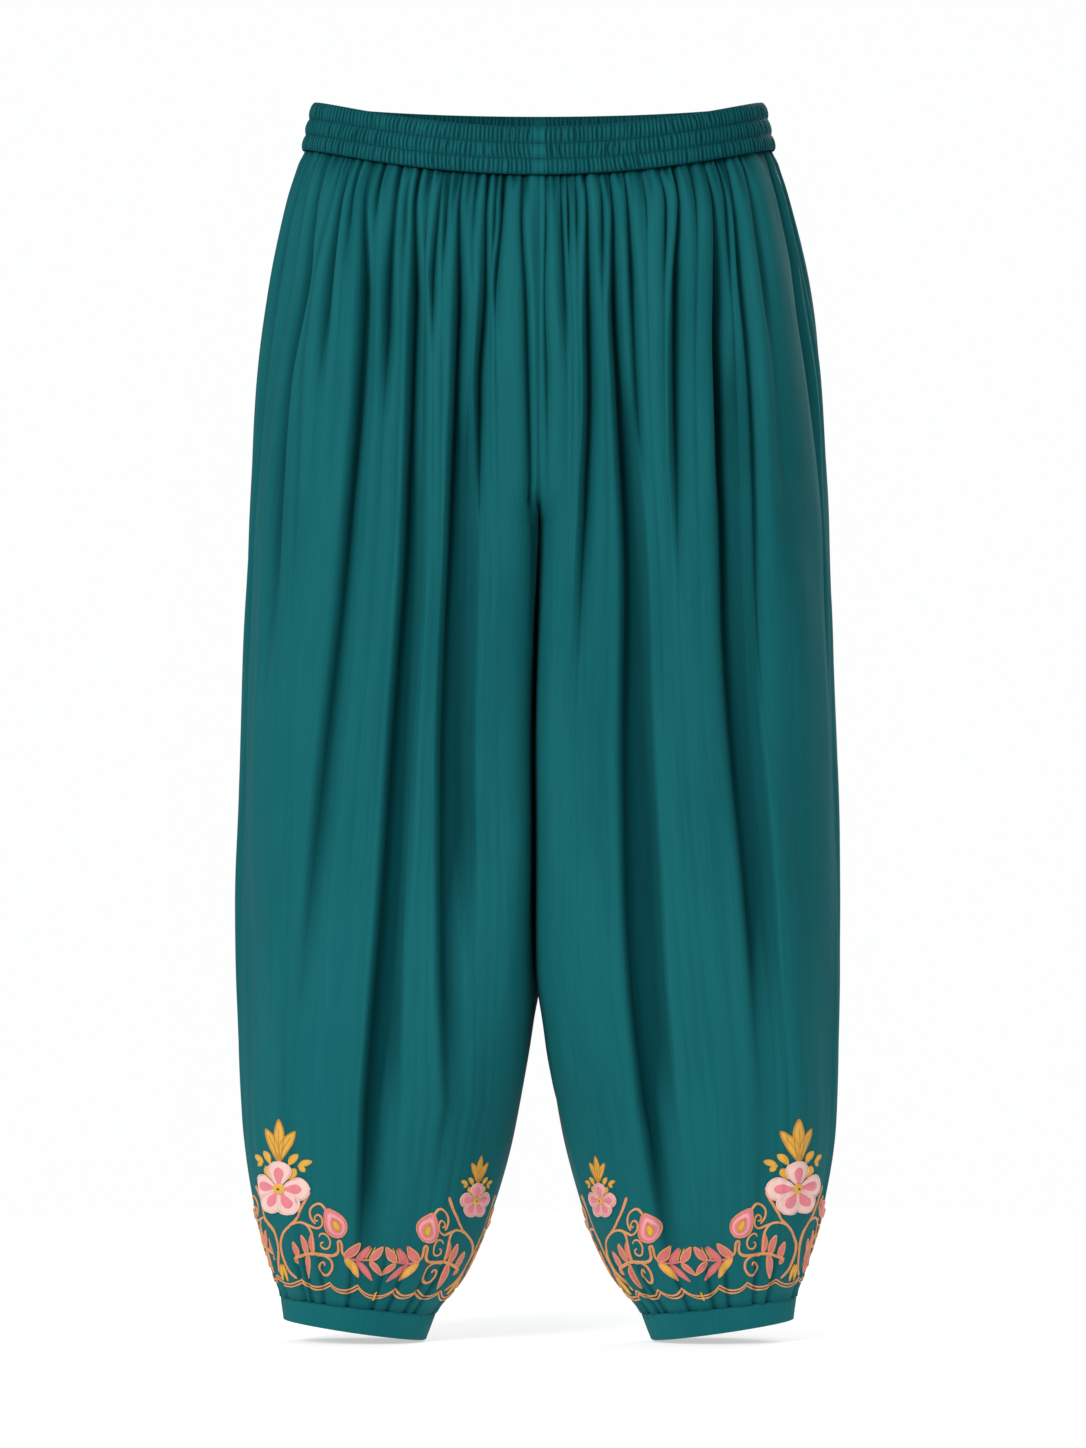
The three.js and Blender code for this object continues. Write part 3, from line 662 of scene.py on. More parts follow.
def waist_arc(count):
    """Angles round the waist from the centre front to the centre back, an even distance apart."""
    middle = (np.arange(BAND.arc_steps) + 0.5) * math.pi / BAND.arc_steps
    steps = np.hypot(RIM_HALF_WIDTH * np.cos(middle), RIM_HALF_DEPTH * np.sin(middle))
    lengths = np.concatenate([[0], np.cumsum(steps)]) * math.pi / BAND.arc_steps
    angles = np.linspace(0, math.pi, BAND.arc_steps + 1)
    along = np.linspace(0, lengths[-1], count + 1)
    return np.interp(along, lengths, angles), along


def band_point(side, angle, down, outward):
    """Points on the waistband: down is 0 at the rim and 1 at the seam below."""
    sin, cos = np.sin(angle), np.cos(angle)
    half_width = lerp(RIM_HALF_WIDTH, SECTIONS[0][1], down)
    half_depth = lerp(RIM_HALF_DEPTH, SECTIONS[0][3], down)
    nx, ny = sin / half_width, -cos / half_depth
    size = np.hypot(nx, ny)
    dip = np.where(cos > 0, FRONT_DIP, BACK_DIP) * cos * cos
    x = half_width * sin + nx / size * outward
    y = -half_depth * cos + ny / size * outward
    z = lerp(RIM_HEIGHT, WAIST_SEAM, down) - dip
    x = np.where((sin > 1e-6) & (np.abs(cos) < 1), np.maximum(0, x), 0)
    return np.stack([side * x, y, z], axis=-1)


def band_relief(side, along, down, total):
    """Height of the ribs, and the painted shade of their valleys and stitched rows: round between two
    rows of stitching, pinched at each.
    """
    rng = np.random.default_rng(SEEDS.ribs + side)
    pitch = total / BAND.ribs
    channel = np.clip((down * BAND.channels).astype(int), 0, BAND.channels - 1)
    puff = np.abs(np.sin(math.pi * down * BAND.channels)) ** BAND.puff
    jitter = rng.normal(0, RIB.jitter, (BAND.channels, BAND.ribs + 2))
    strength = rng.uniform(*RIB.strengths, (BAND.channels, BAND.ribs + 2))
    index = np.clip((along / pitch).astype(int), 0, BAND.ribs)
    wander = RIB.wander * np.sin(along / RIB.waves[0] + RIB.drifts[0] * side)
    wander = wander * np.sin(RIB.drifts[1] * down + along / RIB.waves[1])
    phase = along / pitch + jitter[channel, index] * puff + wander
    ribs = np.abs(np.sin(math.pi * phase))
    clear = np.minimum(along, total - along)
    shown = smoothstep(BAND.plain - 1, BAND.plain + 1, clear)
    height = BAND.proud * strength[channel, index]
    valley = BAND_SHADE.rib * (1 - ribs) * shown * strength[channel, index]
    shade = valley * lerp(BAND_SHADE.flat_rib, 1, puff) + BAND_SHADE.stitches * (1 - puff)
    return puff * (BAND.bulge + height * lerp(RIB.plain, ribs, shown)), shade


def waistband(name, side, material):
    angles, along = waist_arc(BAND.ribs * BAND.per_rib)
    down = np.linspace(0, 1, BAND.channels * BAND.rows + 1)[:, None]
    relief, shade = band_relief(side, *np.broadcast_arrays(along, down), along[-1])
    seam = np.exp(-((np.minimum(along, along[-1] - along) / BAND_SEAM.half) ** 2))
    outer = band_point(side, angles, down, relief - BAND_SEAM.deep * seam)
    inner_down = down[::2]
    inner = band_point(side, angles, inner_down, -BAND_WALL - BAND.inside * relief[::2])
    crest = band_point(side, angles, 0 * down[:1], -BAND_WALL / 2 + BAND.crest * relief[2])
    crest = crest + [0, 0, BAND.crest_height]
    hem = band_point(side, angles, 0 * down[:1] + 1, -BAND_WALL / 2)
    loop = np.concatenate([crest, outer, hem, inner[::-1], crest])
    rows, columns = loop.shape[0] - 1, loop.shape[1]
    ids = np.arange(rows * columns).reshape(rows, columns)
    ids = np.concatenate([ids, ids[:1]])
    quads = [grid_faces(ids, side < 0)]
    for edge, flip in ((0, side < 0), (-1, side > 0)):
        ring = ids[:-1, edge]
        face, back = ring[1:len(down) + 1], ring[:-len(inner_down) - 1:-1]
        ends = np.array([
            (ring[0], face[0], back[0], back[0]),
            (face[-2], face[-1], ring[len(down) + 1], back[-1]),
        ])
        quads.append(ends[:, ::-1] if flip else ends)
        quads.append(rim_quads(face[:-1], back, flip))
    points = loop[:-1].reshape(-1, 3)
    uv = np.stack([np.tile(along, rows), points[:, 2]], axis=1) * MM
    # Painted shade, darker on the band's inside, goes on the mesh as its fold attribute.
    inside = shade[::2][::-1] + BAND_SHADE.inside
    fold = {"fold": np.concatenate([shade[1:2], shade + BAND_SHADE.seam * seam, shade[-1:], inside])}
    piece = make_mesh(name + "_cloth", points, np.concatenate(quads), material, uv, fold)
    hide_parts(name)
    return piece


# Sewing thread along the two inner rows of the band, one stitch to a rib. Each stitch is given by
# places along it from -1 to 1 and the share of its radius there, and has four sides: out, up, in
# and down.
STITCH = SimpleNamespace(half_length=1.15, radius=0.3, lift=0.25, rows=(1 / 3, 2 / 3))
STITCH_SHAPE = ((-1, 0.25), (-0.6, 0.85), (0, 1), (0.6, 0.85), (1, 0.25))
STITCH_AROUND = ((1, 0), (0, 1), (-1, 0), (0, -1))


def band_stitches(name, side, material):
    angles, along = waist_arc(BAND.arc_steps)
    pitch = along[-1] / BAND.ribs
    middles = (np.arange(BAND.ribs) + 0.5) * pitch
    run = np.array([share for share, _ in STITCH_SHAPE]) * STITCH.half_length
    size = np.array([share for _, share in STITCH_SHAPE]) * STITCH.radius
    points, quads, uv = [], [], []
    for down in STITCH.rows:
        for middle in middles:
            angle = np.interp(middle + run, along, angles)
            rings = [
                band_point(side, angle, np.full(len(run), down), STITCH.lift + size * lift)
                + np.array([0, 0, up]) * size[:, None]
                for lift, up in STITCH_AROUND
            ]
            ids = len(points) * 4 * len(run) + np.arange(4 * len(run)).reshape(4, -1)
            points.append(np.concatenate(rings))
            around = np.repeat(np.arange(4) * STITCH.radius, len(run))
            uv.append(np.stack([np.tile(middle + run, 4), around], axis=1) * MM)
            quads.append(grid_faces(np.concatenate([ids, ids[:1]]), side > 0))
            ends = np.stack([ids[:, 0], ids[::-1, -1]])
            quads.append(ends if side < 0 else ends[:, ::-1])
    points, quads, uv = np.concatenate(points), np.concatenate(quads), np.concatenate(uv)
    return make_mesh(name, points, quads, material, uv)


# Cuffs. Each wave has its height, the number of times it goes round, and where it starts.
CUFF = SimpleNamespace(columns=144, rows=9, round_rows=5, straight=0.95, gap=0.3, lip=0.3, lip_reach=8)
CUFF_WAVE = SimpleNamespace(height=0.35, times=5, start=1.3)
CUFF_RIPPLE = SimpleNamespace(height=0.25, times=11, start=0.7)
CUFF_PUCKER = SimpleNamespace(height=0.3, times=38, reach=3)


def cuff(name, side, material):
    top = leg_section(CUFF_SEAM)
    top_inner = float(top.half - 2 * top.radius)
    angle = np.linspace(0, 2 * math.pi, CUFF.columns, endpoint=False)
    inner_share = (1 + np.cos(angle)) / 2

    def ring(down, inward):
        outer_x = lerp(float(top.half), CUFF_BOTTOM.outer, down)
        inner_x = lerp(top_inner, CUFF_BOTTOM.inner, down)
        depth = lerp(float(top.depth[FRONT]), CUFF_BOTTOM.depth, down) - inward
        drop = lerp(CUFF_OUTER_DROP, CUFF_INNER_DROP, inner_share)
        z = CUFF_SEAM - CUFF.gap - CUFF_TILT * inner_share - down * drop
        x = (outer_x + inner_x) / 2 - ((outer_x - inner_x) / 2 - inward) * np.cos(angle)
        return np.stack([side * x, -depth * np.sin(angle), z], axis=-1)

    wave = CUFF_WAVE.height * np.sin(CUFF_WAVE.times * angle + CUFF_WAVE.start * side)
    wave = wave + CUFF_RIPPLE.height * np.sin(CUFF_RIPPLE.times * angle + CUFF_RIPPLE.start)
    rings = []
    for down in np.linspace(0, CUFF.straight, CUFF.rows):
        up = 1 - down
        pucker = CUFF_PUCKER.height * np.sin(CUFF_PUCKER.times * angle) * up**CUFF_PUCKER.reach
        rings.append(ring(down, CUFF.lip * up**CUFF.lip_reach + pucker - wave * down * up))
    for turn in np.linspace(0, math.pi, CUFF.round_rows + 1)[1:-1]:
        down = CUFF.straight + (1 - CUFF.straight) * math.sin(turn)
        rings.append(ring(down, CUFF_WALL * (1 - math.cos(turn)) / 2))
    for down in np.linspace(CUFF.straight, 0, CUFF.rows // 2):
        rings.append(ring(down, CUFF_WALL))
    loop = np.stack(rings)
    rows, columns = loop.shape[:2]
    ids = np.arange(rows * columns).reshape(rows, columns)
    ids = np.concatenate([ids, ids[:1]])
    ids = np.concatenate([ids, ids[:, :1]], axis=1)
    points = loop.reshape(-1, 3)
    uv = np.stack([np.tile(angle * top.radius, rows), points[:, 2]], axis=1) * MM
    fold = {"fold": np.zeros(len(points))}
    piece = make_mesh(name + "_cloth", points, grid_faces(ids, side < 0), material, uv, fold)
    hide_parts(name)
    return piece


# Embroidery: a scrolling floral border round each leg above the cuff. Six half motifs go round a leg.
# Each runs from an axis with a flower on it to the middle of a leaf spray. A half motif is drawn as
# the front shows it, in millimetres: how far from the big flower's axis towards the spray, and how
# far below MOTIF_TOP.
MOTIF_TOP = -776.4
BIG_AXIS = 204.5
BIG_AXIS_SHARE = Curve((-784, -833, -888, -915), (-0.705, -0.748, -0.83, -0.845))
SMALL_AXIS_SHARE = Curve((-810, -839, -877, -915), (0.79, 0.828, 0.945, 0.965))
FIRST_SPRAY = Curve((-873, -905), (0.516, 0.536))
RING_TOP = -742
RING_STEPS = 1500
NORMAL_SOFTNESS = 9
THREAD_STEP = 1.3
SINK = 0.3

# Strokes of the half motif: colour, half width at the start and the end, and the points
STROKES = (
    ("peach", 1.2, 1.0, (
        (24.5, 64), (21, 71), (16.5, 79), (12.5, 86.5), (8, 91), (3.6, 96.5), (1.7, 105),
        (2.6, 112.5), (4.6, 119), (8, 126.5), (13.5, 132.6),
    )),
    ("peach", 0.9, 1.0, (
        (9, 90.3), (13, 88.6), (18, 88.4), (22.5, 90.5), (25.6, 96), (27, 103), (27.4, 112),
    )),
    ("peach", 0.9, 0.7, (
        (20.5, 89.2), (25, 91), (30, 93), (33.8, 90.4), (33.7, 85), (30.6, 82.2), (28.1, 84.3),
        (29.2, 87.3), (31.2, 86.4),
    )),
    ("peach", 0.8, 1.0, (
        (28.6, 89.4), (25.2, 84), (24.8, 78.6), (27.6, 74.8), (32.5, 73.7), (37, 78.5),
    )),
    ("peach", 0.7, 0.7, (
        (31.4, 99.6), (33, 97.2), (37, 98), (40, 103), (39.2, 108), (36, 109.2), (33, 107.2),
        (33, 104.4), (35.3, 104),
    )),
    ("peach", 1.2, 0.9, (
        (11, 117), (16, 115), (22, 113.3), (28, 113), (36, 114.2), (42.5, 114.4), (46, 112),
        (46.3, 107), (45.8, 104), (47.6, 103), (49, 106), (49.6, 112), (52, 115),
    )),
    ("peach", 1.0, 0.7, (
        (29, 114), (36, 114.6), (41, 119), (41.4, 125), (38, 129.8), (33.6, 129), (31, 124.2),
        (32.2, 120.6), (35, 119.8), (36, 122.6),
    )),
    ("pink", 0.9, 0.7, (
        (51.5, 115.2), (58, 117.8), (64, 118.4), (70, 118.2), (75, 118.8),
    )),
    ("gold", 0.45, 0.4, (
        (71.5, 116), (74.5, 110.5), (76, 107.6),
    )),
    ("gold", 0.45, 0.4, (
        (68, 117.4), (71.5, 111.5), (73, 108.4),
    )),
)

# Leaves of the half motif: fill, outline, start, tip, width, and how far the leaf bows sideways
LEAVES = (
    ("pink", "peach", (14, 116.5), (10.4, 103.5), 5.2, 0.8),
    ("pink", "peach", (22, 113.5), (17.2, 98.3), 5.6, 0.9),
    ("pink", "peach", (27, 112.5), (26.3, 95.5), 3.6, -0.8),
    ("pink", "peach", (12, 116.5), (14.2, 121), 3.4, 0.3),
    ("pink", "peach", (23.4, 113.6), (22, 132.4), 5, 0.3),
    ("gold", "gold", (1.8, 121), (3.6, 133.8), 3, 0.2),
    ("pink", "peach", (51, 115.2), (63.6, 105), 5.8, 1),
    ("gold", "peach", (51.4, 116.2), (62, 131.8), 6.4, -1.4),
    ("pink", "pink", (60.5, 118), (71.6, 107.3), 4.6, 0.8),
    ("pink", "pink", (60.5, 119), (73, 134), 5, -0.9),
    ("pink", "peach", (71.2, 118.2), (81.8, 107.6), 5, 0.6),
    ("pink", "peach", (71.2, 119.4), (80, 130), 5, -0.6),
)

# Petals of the bud, each laid over the last: colour, start, tip, width, height of the base, outline
BUD = (
    ("rose", (37, 77.6), (49.6, 99.6), 16.5, 0.1, "peach"),
    ("blush", (39.2, 81), (48.8, 97.8), 13, 0.45, None),
    ("rose", (40.6, 83.6), (48.2, 96.6), 10.4, 0.75, None),
)
BUD_HEART = SimpleNamespace(ends=((42, 85.4), (47.2, 95)), width=5.4, base=1.05)

# The scalloped border: where the scallops meet, as shares of the way from the axis to the spray's
# middle, and how far each one dips
CUSPS = (-0.205, 0.205, 0.52, 0.80, 1.20)
DIPS = (5.6, 4.8, 5.2, 7.2)
CUSP_LEVEL = -905.4
BORDER = SimpleNamespace(apart=1.15, half=0.62, height=0.95, steps=72, roundness=2.3)
TICK = SimpleNamespace(top=4, bottom=9.5, half=0.8, height=1.2, steps=8)

# The flowers and what grows from them, from the middle of a flower, across and up
FLOWERS = {
    "big": SimpleNamespace(level=-832.8, size=1.03, stretch=1.32, petal="pale"),
    "small": SimpleNamespace(level=-836, size=0.62, stretch=1.3, petal="blush"),
    "middle": SimpleNamespace(level=-834, size=0.84, stretch=1.0, petal="pale"),
}
PETAL_TURNS = (90, 4, 176, -60, -120)

# The two layers of petals: colour, or None for the flower's own, how far from the middle they start
# and end, width, height of the base, outline
PETAL_LAYERS = ((None, 2.5, 21.2, 16.5, 0.6, "pale"), ("rose", 4, 16.6, 7.6, 1.05, None))

# The spots in a flower's middle: colour, radius, height of the base
SPOTS = (("gold", 4.6, 1.3), ("eye", 0.9, 2))
VEIN_WIDTH = 6
CLUSTER_LEAVES = (
    ("gold", "ochre", (-0.6, 20.5), (-11.2, 45), 7, -1.6),
    ("gold", "ochre", (0.9, 20.5), (10.8, 44.6), 7, 1.6),
    ("gold", "ochre", (0.1, 21), (-0.3, 53), 7.2, 0),
    ("gold", "gold", (7.2, 8), (11.2, 16.2), 5.4, 0),
    ("gold", "gold", (-7.2, 8), (-11.2, 16.2), 5.4, 0),
    ("gold", "gold", (7, 18.6), (13.4, 27), 4.6, 0.8),
    ("gold", "gold", (-7, 18.6), (-12.6, 27.6), 4.6, -0.8),
    ("gold", "gold", (13.6, 18), (22.2, 22.4), 4, 0.6),
    ("gold", "gold", (-13.4, 18.8), (-22, 23.6), 4, -0.6),
    ("gold", "gold", (14.4, 19), (18, 14.4), 3.4, 0),
    ("gold", "gold", (-14.2, 19.6), (-17.6, 16), 3.4, 0),
)

# How strokes, leaves, petals and spots are laid. The edges are their outlines, and a rise is how far
# a thread lies above the base of the thread under it. A larger belly is wider nearer the tip.
STROKE = SimpleNamespace(double_from=1.0, fullness=1.1, height=0.95, start=0.6, end=0.35)
LEAF = SimpleNamespace(
    height=0.6, belly=0.85, full_belly=1.2, roundness=0.8, sprig_base=0.1,
    edge_half=0.55, edge_share=1 / 9, edge_height=0.62, edge_rise=0.25,
    vein_half=0.35, vein_height=0.5, vein_rise=0.5,
)
PETAL = SimpleNamespace(
    height=0.55, belly=1.5, roundness=0.55, foot=0.1, step=1.1,
    edge_half=0.45, edge_height=0.5, edge_rise=0.3,
)
SPOT = SimpleNamespace(height=0.6, steps=9, least=0.1)
CURVE_STEPS = 12
RIBBON_ENDS = SimpleNamespace(rise=1.6, least=0.15)

# How often a place in the drawing is moved to the cloth's own distance, and the steps of a length
DRAWING = SimpleNamespace(rounds=5, steps=60)

# Cross sections of the threads: across from -1 to 1, and the share of the height, below 0 sunk in
ROPE = ((-1, -1), (-0.72, 0.62), (0, 1), (0.72, 0.62), (1, -1))
DOUBLE_ROPE = ((-1, -1), (-0.82, 0.75), (-0.48, 1), (0, 0.4), (0.48, 1), (0.82, 0.75), (1, -1))
SATIN = (
    (-1, -1), (-0.88, 0.55), (-0.62, 0.86), (-0.32, 0.97), (0, 1),
    (0.32, 0.97), (0.62, 0.86), (0.88, 0.55), (1, -1), (0.4, -1), (-0.4, -1),
)


class Ring:
    """The cloth above a cuff, laid out by level and by the share of the way round the leg."""

    def __init__(self, front, back):
        rows = front.levels < RING_TOP
        self.levels = front.levels[rows]
        section = leg_section(self.levels[:, None])
        front_x, front_y = oval_point(section, front.side, FRONT, front.across[rows][:, ::-1])
        back_x, back_y = oval_point(section, back.side, BACK, back.across[rows][:, 1:])
        x, y = np.concatenate([front_x, back_x], axis=1), np.concatenate([front_y, back_y], axis=1)
        steps = np.hypot(np.diff(x, axis=1), np.diff(y, axis=1))
        lengths = np.concatenate([0 * steps[:, :1], np.cumsum(steps, axis=1)], axis=1)
        self.total = lengths[:, -1]
        cloth = np.concatenate([front.points[rows][:, ::-1], back.points[rows][:, 1:]], axis=1)
        big = self.axis_length(section, BIG_AXIS_SHARE, front, rows, lengths)
        small = self.axis_length(section, SMALL_AXIS_SHARE, front, rows, lengths)
        shares = np.linspace(0, 1, RING_STEPS + 1)
        along = (big[:, None] + shares * self.total[:, None]) % self.total[:, None]
        self.points = np.stack([
            np.stack([np.interp(along[i], lengths[i], cloth[i, :, k]) for k in range(3)], axis=1)
            for i in range(len(self.levels))
        ])
        self.normals = self.soft_normals(front.side)
        small_share = (small - big) / self.total
        last_axis = (1 + small_share) / 2
        start = 0 * small_share
        self.axes = {"big": start, "small": small_share, "middle": last_axis, "round": start + 1}
        self.sprays = {
            "front": FIRST_SPRAY(self.levels) * small_share,
            "inner": (small_share + last_axis) / 2,
            "outer": (last_axis + 1) / 2,
        }

    def axis_length(self, section, share, front, rows, lengths):
        distance = section.centre - share(self.levels)[:, None] * section.radius
        across = across_at(section, FRONT, distance)[:, 0]
        columns = front.across[rows][:, ::-1]
        count = columns.shape[1]
        return np.array([
            np.interp(-across[i], -columns[i], lengths[i, :count]) for i in range(len(self.levels))
        ])

    def soft_normals(self, side):
        kernel = np.ones(NORMAL_SOFTNESS) / NORMAL_SOFTNESS
        pad = NORMAL_SOFTNESS // 2
        points = self.points
        wrapped = np.concatenate([points[:, -pad - 1:-1], points, points[:, 1:pad + 1]], axis=1)
        soft = np.apply_along_axis(lambda row: np.convolve(row, kernel, mode="valid"), 1, wrapped)
        normals = np.cross(np.gradient(soft, axis=1), np.gradient(soft, axis=0)) * side
        return normals / np.linalg.norm(normals, axis=-1, keepdims=True)

    def at_level(self, values, level):
        return np.interp(-level, -self.levels, values)

    def place(self, share, level, rise):
        """Points on the cloth, raised along its normal."""
        row = np.interp(-level, -self.levels, np.arange(len(self.levels)))
        row = np.clip(row, 0, len(self.levels) - 1.001)
        column = share % 1 * RING_STEPS
        i, j = row.astype(int), np.clip(column.astype(int), 0, RING_STEPS - 1)
        v, u = (row - i)[..., None], (column - j)[..., None]

        def pick(table):
            upper = lerp(table[i, j], table[i, j + 1], u)
            return lerp(upper, lerp(table[i + 1, j], table[i + 1, j + 1], u), v)

        return pick(self.points) + pick(self.normals) * rise[..., None]


def smooth_path(points, step=THREAD_STEP):
    """A smooth curve through the points, as points an even distance apart."""
    points = np.array(points, float)
    ends = np.concatenate([[2 * points[0] - points[1]], points, [2 * points[-1] - points[-2]]])
    t = np.linspace(0, 1, CURVE_STEPS, endpoint=False)[:, None]
    curve = [
        0.5 * (2 * b + (c - a) * t + (2 * a - 5 * b + 4 * c - d) * t**2 + (3 * b - a - 3 * c + d) * t**3)
        for a, b, c, d in zip(ends, ends[1:], ends[2:], ends[3:])
    ]
    curve = np.concatenate([*curve, points[-1:]])
    lengths = np.concatenate([[0], np.cumsum(np.hypot(*np.diff(curve, axis=0).T))])
    along = np.linspace(0, lengths[-1], max(3, round(lengths[-1] / step) + 1))
    return np.stack([np.interp(along, lengths, curve[:, k]) for k in range(2)], axis=1)


def sideways(path):
    along = np.gradient(path, axis=0)
    along /= np.linalg.norm(along, axis=1, keepdims=True) + 1e-9
    return np.stack([-along[:, 1], along[:, 0]], axis=1)


class Threads:
    """Gathers the stitches of one colour on one leg."""

    def __init__(self):
        self.points, self.quads, self.uv = [], [], []
        self.count = 0

    def ribbon(self, place, path, half, height, profile, base=0.0):
        """Lays a raised strip along a path. half is the half width at each point of the path."""
        shape = np.array(profile, float)
        half = np.broadcast_to(half, (len(path),))
        run = np.concatenate([[0], np.cumsum(np.hypot(*np.diff(path, axis=0).T))])
        flat = path[:, None] + sideways(path)[:, None] * half[:, None, None] * shape[None, :, :1]
        full = np.clip(half / max(half.max(), 1e-6) * RIBBON_ENDS.rise, RIBBON_ENDS.least, 1)[:, None]
        rise = np.where(shape[:, 1] < 0, base - SINK, base + height * shape[:, 1] * full)
        points = place(flat[..., 0], flat[..., 1], rise)
        rows, columns = points.shape[:2]
        ids = self.count + np.arange(rows * columns).reshape(rows, columns)
        middle, top = rows // 2, int(np.argmax(shape[:, 1]))
        before, here = points[middle - 1], points[middle]
        lift = place(flat[middle, :, 0], flat[middle, :, 1], rise[middle] + 1)[top] - here[top]
        flip = np.cross(here[top + 1] - here[top - 1], here[top] - before[top]) @ lift < 0
        self.quads.append(grid_faces(np.concatenate([ids, ids[:, :1]], axis=1), flip))
        for end, turned in ((ids[0], flip), (ids[-1], not flip)):
            fan = np.stack([0 * end[2:] + end[0], end[2:], end[1:-1], 0 * end[2:] + end[0]], axis=1)
            self.quads.append(fan[:, ::-1] if turned else fan)
        self.points.append(points.reshape(-1, 3))
        across = half[:, None] * shape[None, :, 0]
        along = np.broadcast_to(run[:, None], across.shape)
        self.uv.append(np.stack([along, across], axis=-1).reshape(-1, 2))
        self.count += rows * columns

    def mesh(self, name, material):
        points, uv = np.concatenate(self.points), np.concatenate(self.uv) * MM
        return make_mesh(name, points, np.concatenate(self.quads), material, uv)


def leaf(threads, place, fill, outline, start, tip, width, bow, base, belly=LEAF.belly, vein=None):
    """A pointed leaf of satin stitch with an outline. belly sets how far along it is widest."""
    start, tip = np.array(start, float), np.array(tip, float)
    side = np.array([start[1] - tip[1], tip[0] - start[0]]) / np.linalg.norm(tip - start)
    path = smooth_path((start, (start + tip) / 2 + side * bow, tip))
    share = np.linspace(0, 1, len(path))
    half = width / 2 * np.sin(math.pi * share**belly) ** LEAF.roundness
    threads[fill].ribbon(place, path, half, LEAF.height, SATIN, base)
    edge_half = min(LEAF.edge_half, width * LEAF.edge_share)
    lay_edges(threads[outline], place, path, half, edge_half, LEAF.edge_height, base + LEAF.edge_rise)
    if vein:
        path = path[: len(path) * 3 // 4 + 1]
        threads[vein].ribbon(place, path, LEAF.vein_half, LEAF.vein_height, ROPE, base + LEAF.vein_rise)


def lay_edges(thread, place, path, half, edge_half, height, base):
    for hand in (-1, 1):
        edge = path + hand * sideways(path) * half[:, None]
        thread.ribbon(place, edge, edge_half, height, ROPE, base)


def petal(threads, place, colour, start, tip, width, base, outline):
    """A petal with a narrow foot and a broad round end."""
    path = smooth_path((start, (np.array(start) + tip) / 2, tip), PETAL.step)
    share = np.linspace(0, 1, len(path))
    round_end = np.sin(math.pi * share**PETAL.belly) ** PETAL.roundness
    half = width / 2 * (round_end + PETAL.foot * (1 - share))
    threads[colour].ribbon(place, path, half, PETAL.height, SATIN, base)
    if outline:
        base += PETAL.edge_rise
        lay_edges(threads[outline], place, path, half, PETAL.edge_half, PETAL.edge_height, base)


def flower(threads, ring, kind):
    """A five-petalled flower on its axis, with a crown of leaves and sprigs of buds."""
    look = FLOWERS[kind]
    turn = ring.axes[kind]

    def place(x, y, rise):
        level = look.level + y * look.size
        across = x * look.size * look.stretch / ring.at_level(ring.total, level)
        return ring.place(ring.at_level(turn, level) + across, level, rise)

    for fill, outline, start, tip, width, bow in CLUSTER_LEAVES:
        vein = "ochre" if width > VEIN_WIDTH else None
        leaf(threads, place, fill, outline, start, tip, width, bow, 0, LEAF.full_belly, vein)
    for colour, start, reach, width, base, outline in PETAL_LAYERS:
        colour = colour or look.petal
        for angle in np.radians(PETAL_TURNS):
            toward = np.array([math.cos(angle), math.sin(angle)])
            petal(threads, place, colour, toward * start, toward * reach, width, base, outline)
    for colour, radius, base in SPOTS:
        path = np.stack([np.linspace(-radius, radius, SPOT.steps), np.zeros(SPOT.steps)], axis=1)
        half = np.sqrt(np.maximum(radius**2 - path[:, 0] ** 2, SPOT.least**2))
        threads[colour].ribbon(place, path, half, SPOT.height, SATIN, base)


def half_motif(threads, ring, drawn, axis, spray):
    """Scrolls, leaves, bud and border from a flower's axis to the middle of a leaf spray."""
    start, finish = ring.axes[axis], ring.sprays[spray]

    def span(level):
        return ring.at_level((finish - start) * ring.total, level)

    def place(x, level, rise):
        share = ring.at_level(start, level) + x / ring.at_level(ring.total, level)
        return ring.place(share, level, rise)

    def lay(points):
        share, level = drawn(np.array(points, float))
        return np.stack([share * span(level), level], axis=1)

    for colour, first, last, points in STROKES:
        path = smooth_path(lay(points))
        half = np.linspace(first, last, len(path))
        half[-1] *= STROKE.end
        half[0] *= STROKE.start
        profile = DOUBLE_ROPE if first >= STROKE.double_from else ROPE
        threads[colour].ribbon(place, path, half * STROKE.fullness, STROKE.height, profile)
    hand = -np.sign(span(CUSP_LEVEL))
    for fill, outline, base, tip, width, bow in LEAVES:
        leaf(threads, place, fill, outline, *lay((base, tip)), width, bow * hand, LEAF.sprig_base)
    for colour, base, tip, width, height, outline in BUD:
        petal(threads, place, colour, *lay((base, tip)), width, height, outline)
    heart = lay(BUD_HEART.ends)
    leaf(threads, place, "gold", "ochre", *heart, BUD_HEART.width, 0, BUD_HEART.base, LEAF.full_belly)
    share = np.linspace(0, 1, BORDER.steps)
    piece = np.clip(np.searchsorted(CUSPS, share, side="right") - 1, 0, len(DIPS) - 1)
    low, high = np.array(CUSPS)[piece], np.array(CUSPS)[piece + 1]
    inside = (2 * share - low - high) / (high - low)
    level = CUSP_LEVEL - np.array(DIPS)[piece] * (1 - np.abs(inside) ** BORDER.roundness)
    border = np.stack([share * span(level), level], axis=1)
    for hand in (-1, 1):
        line = border + [0, hand * BORDER.apart]
        threads["peach"].ribbon(place, line, BORDER.half, BORDER.height, ROPE)
    return span, place


def ring_embroidery(threads, ring, drawn):
    for axis, spray in (
        ("big", "front"), ("small", "front"), ("small", "inner"),
        ("middle", "inner"), ("middle", "outer"), ("round", "outer"),
    ):
        span, place = half_motif(threads, ring, drawn, axis, spray)
        if axis != "small":
            continue
        level = np.linspace(CUSP_LEVEL - DIPS[-1] + TICK.top, CUSP_LEVEL - TICK.bottom, TICK.steps)
        path = np.stack([span(level), level], axis=1)
        threads["gold"].ribbon(place, path, TICK.half, TICK.height, ROPE)
    for kind in FLOWERS:
        flower(threads, ring, kind)


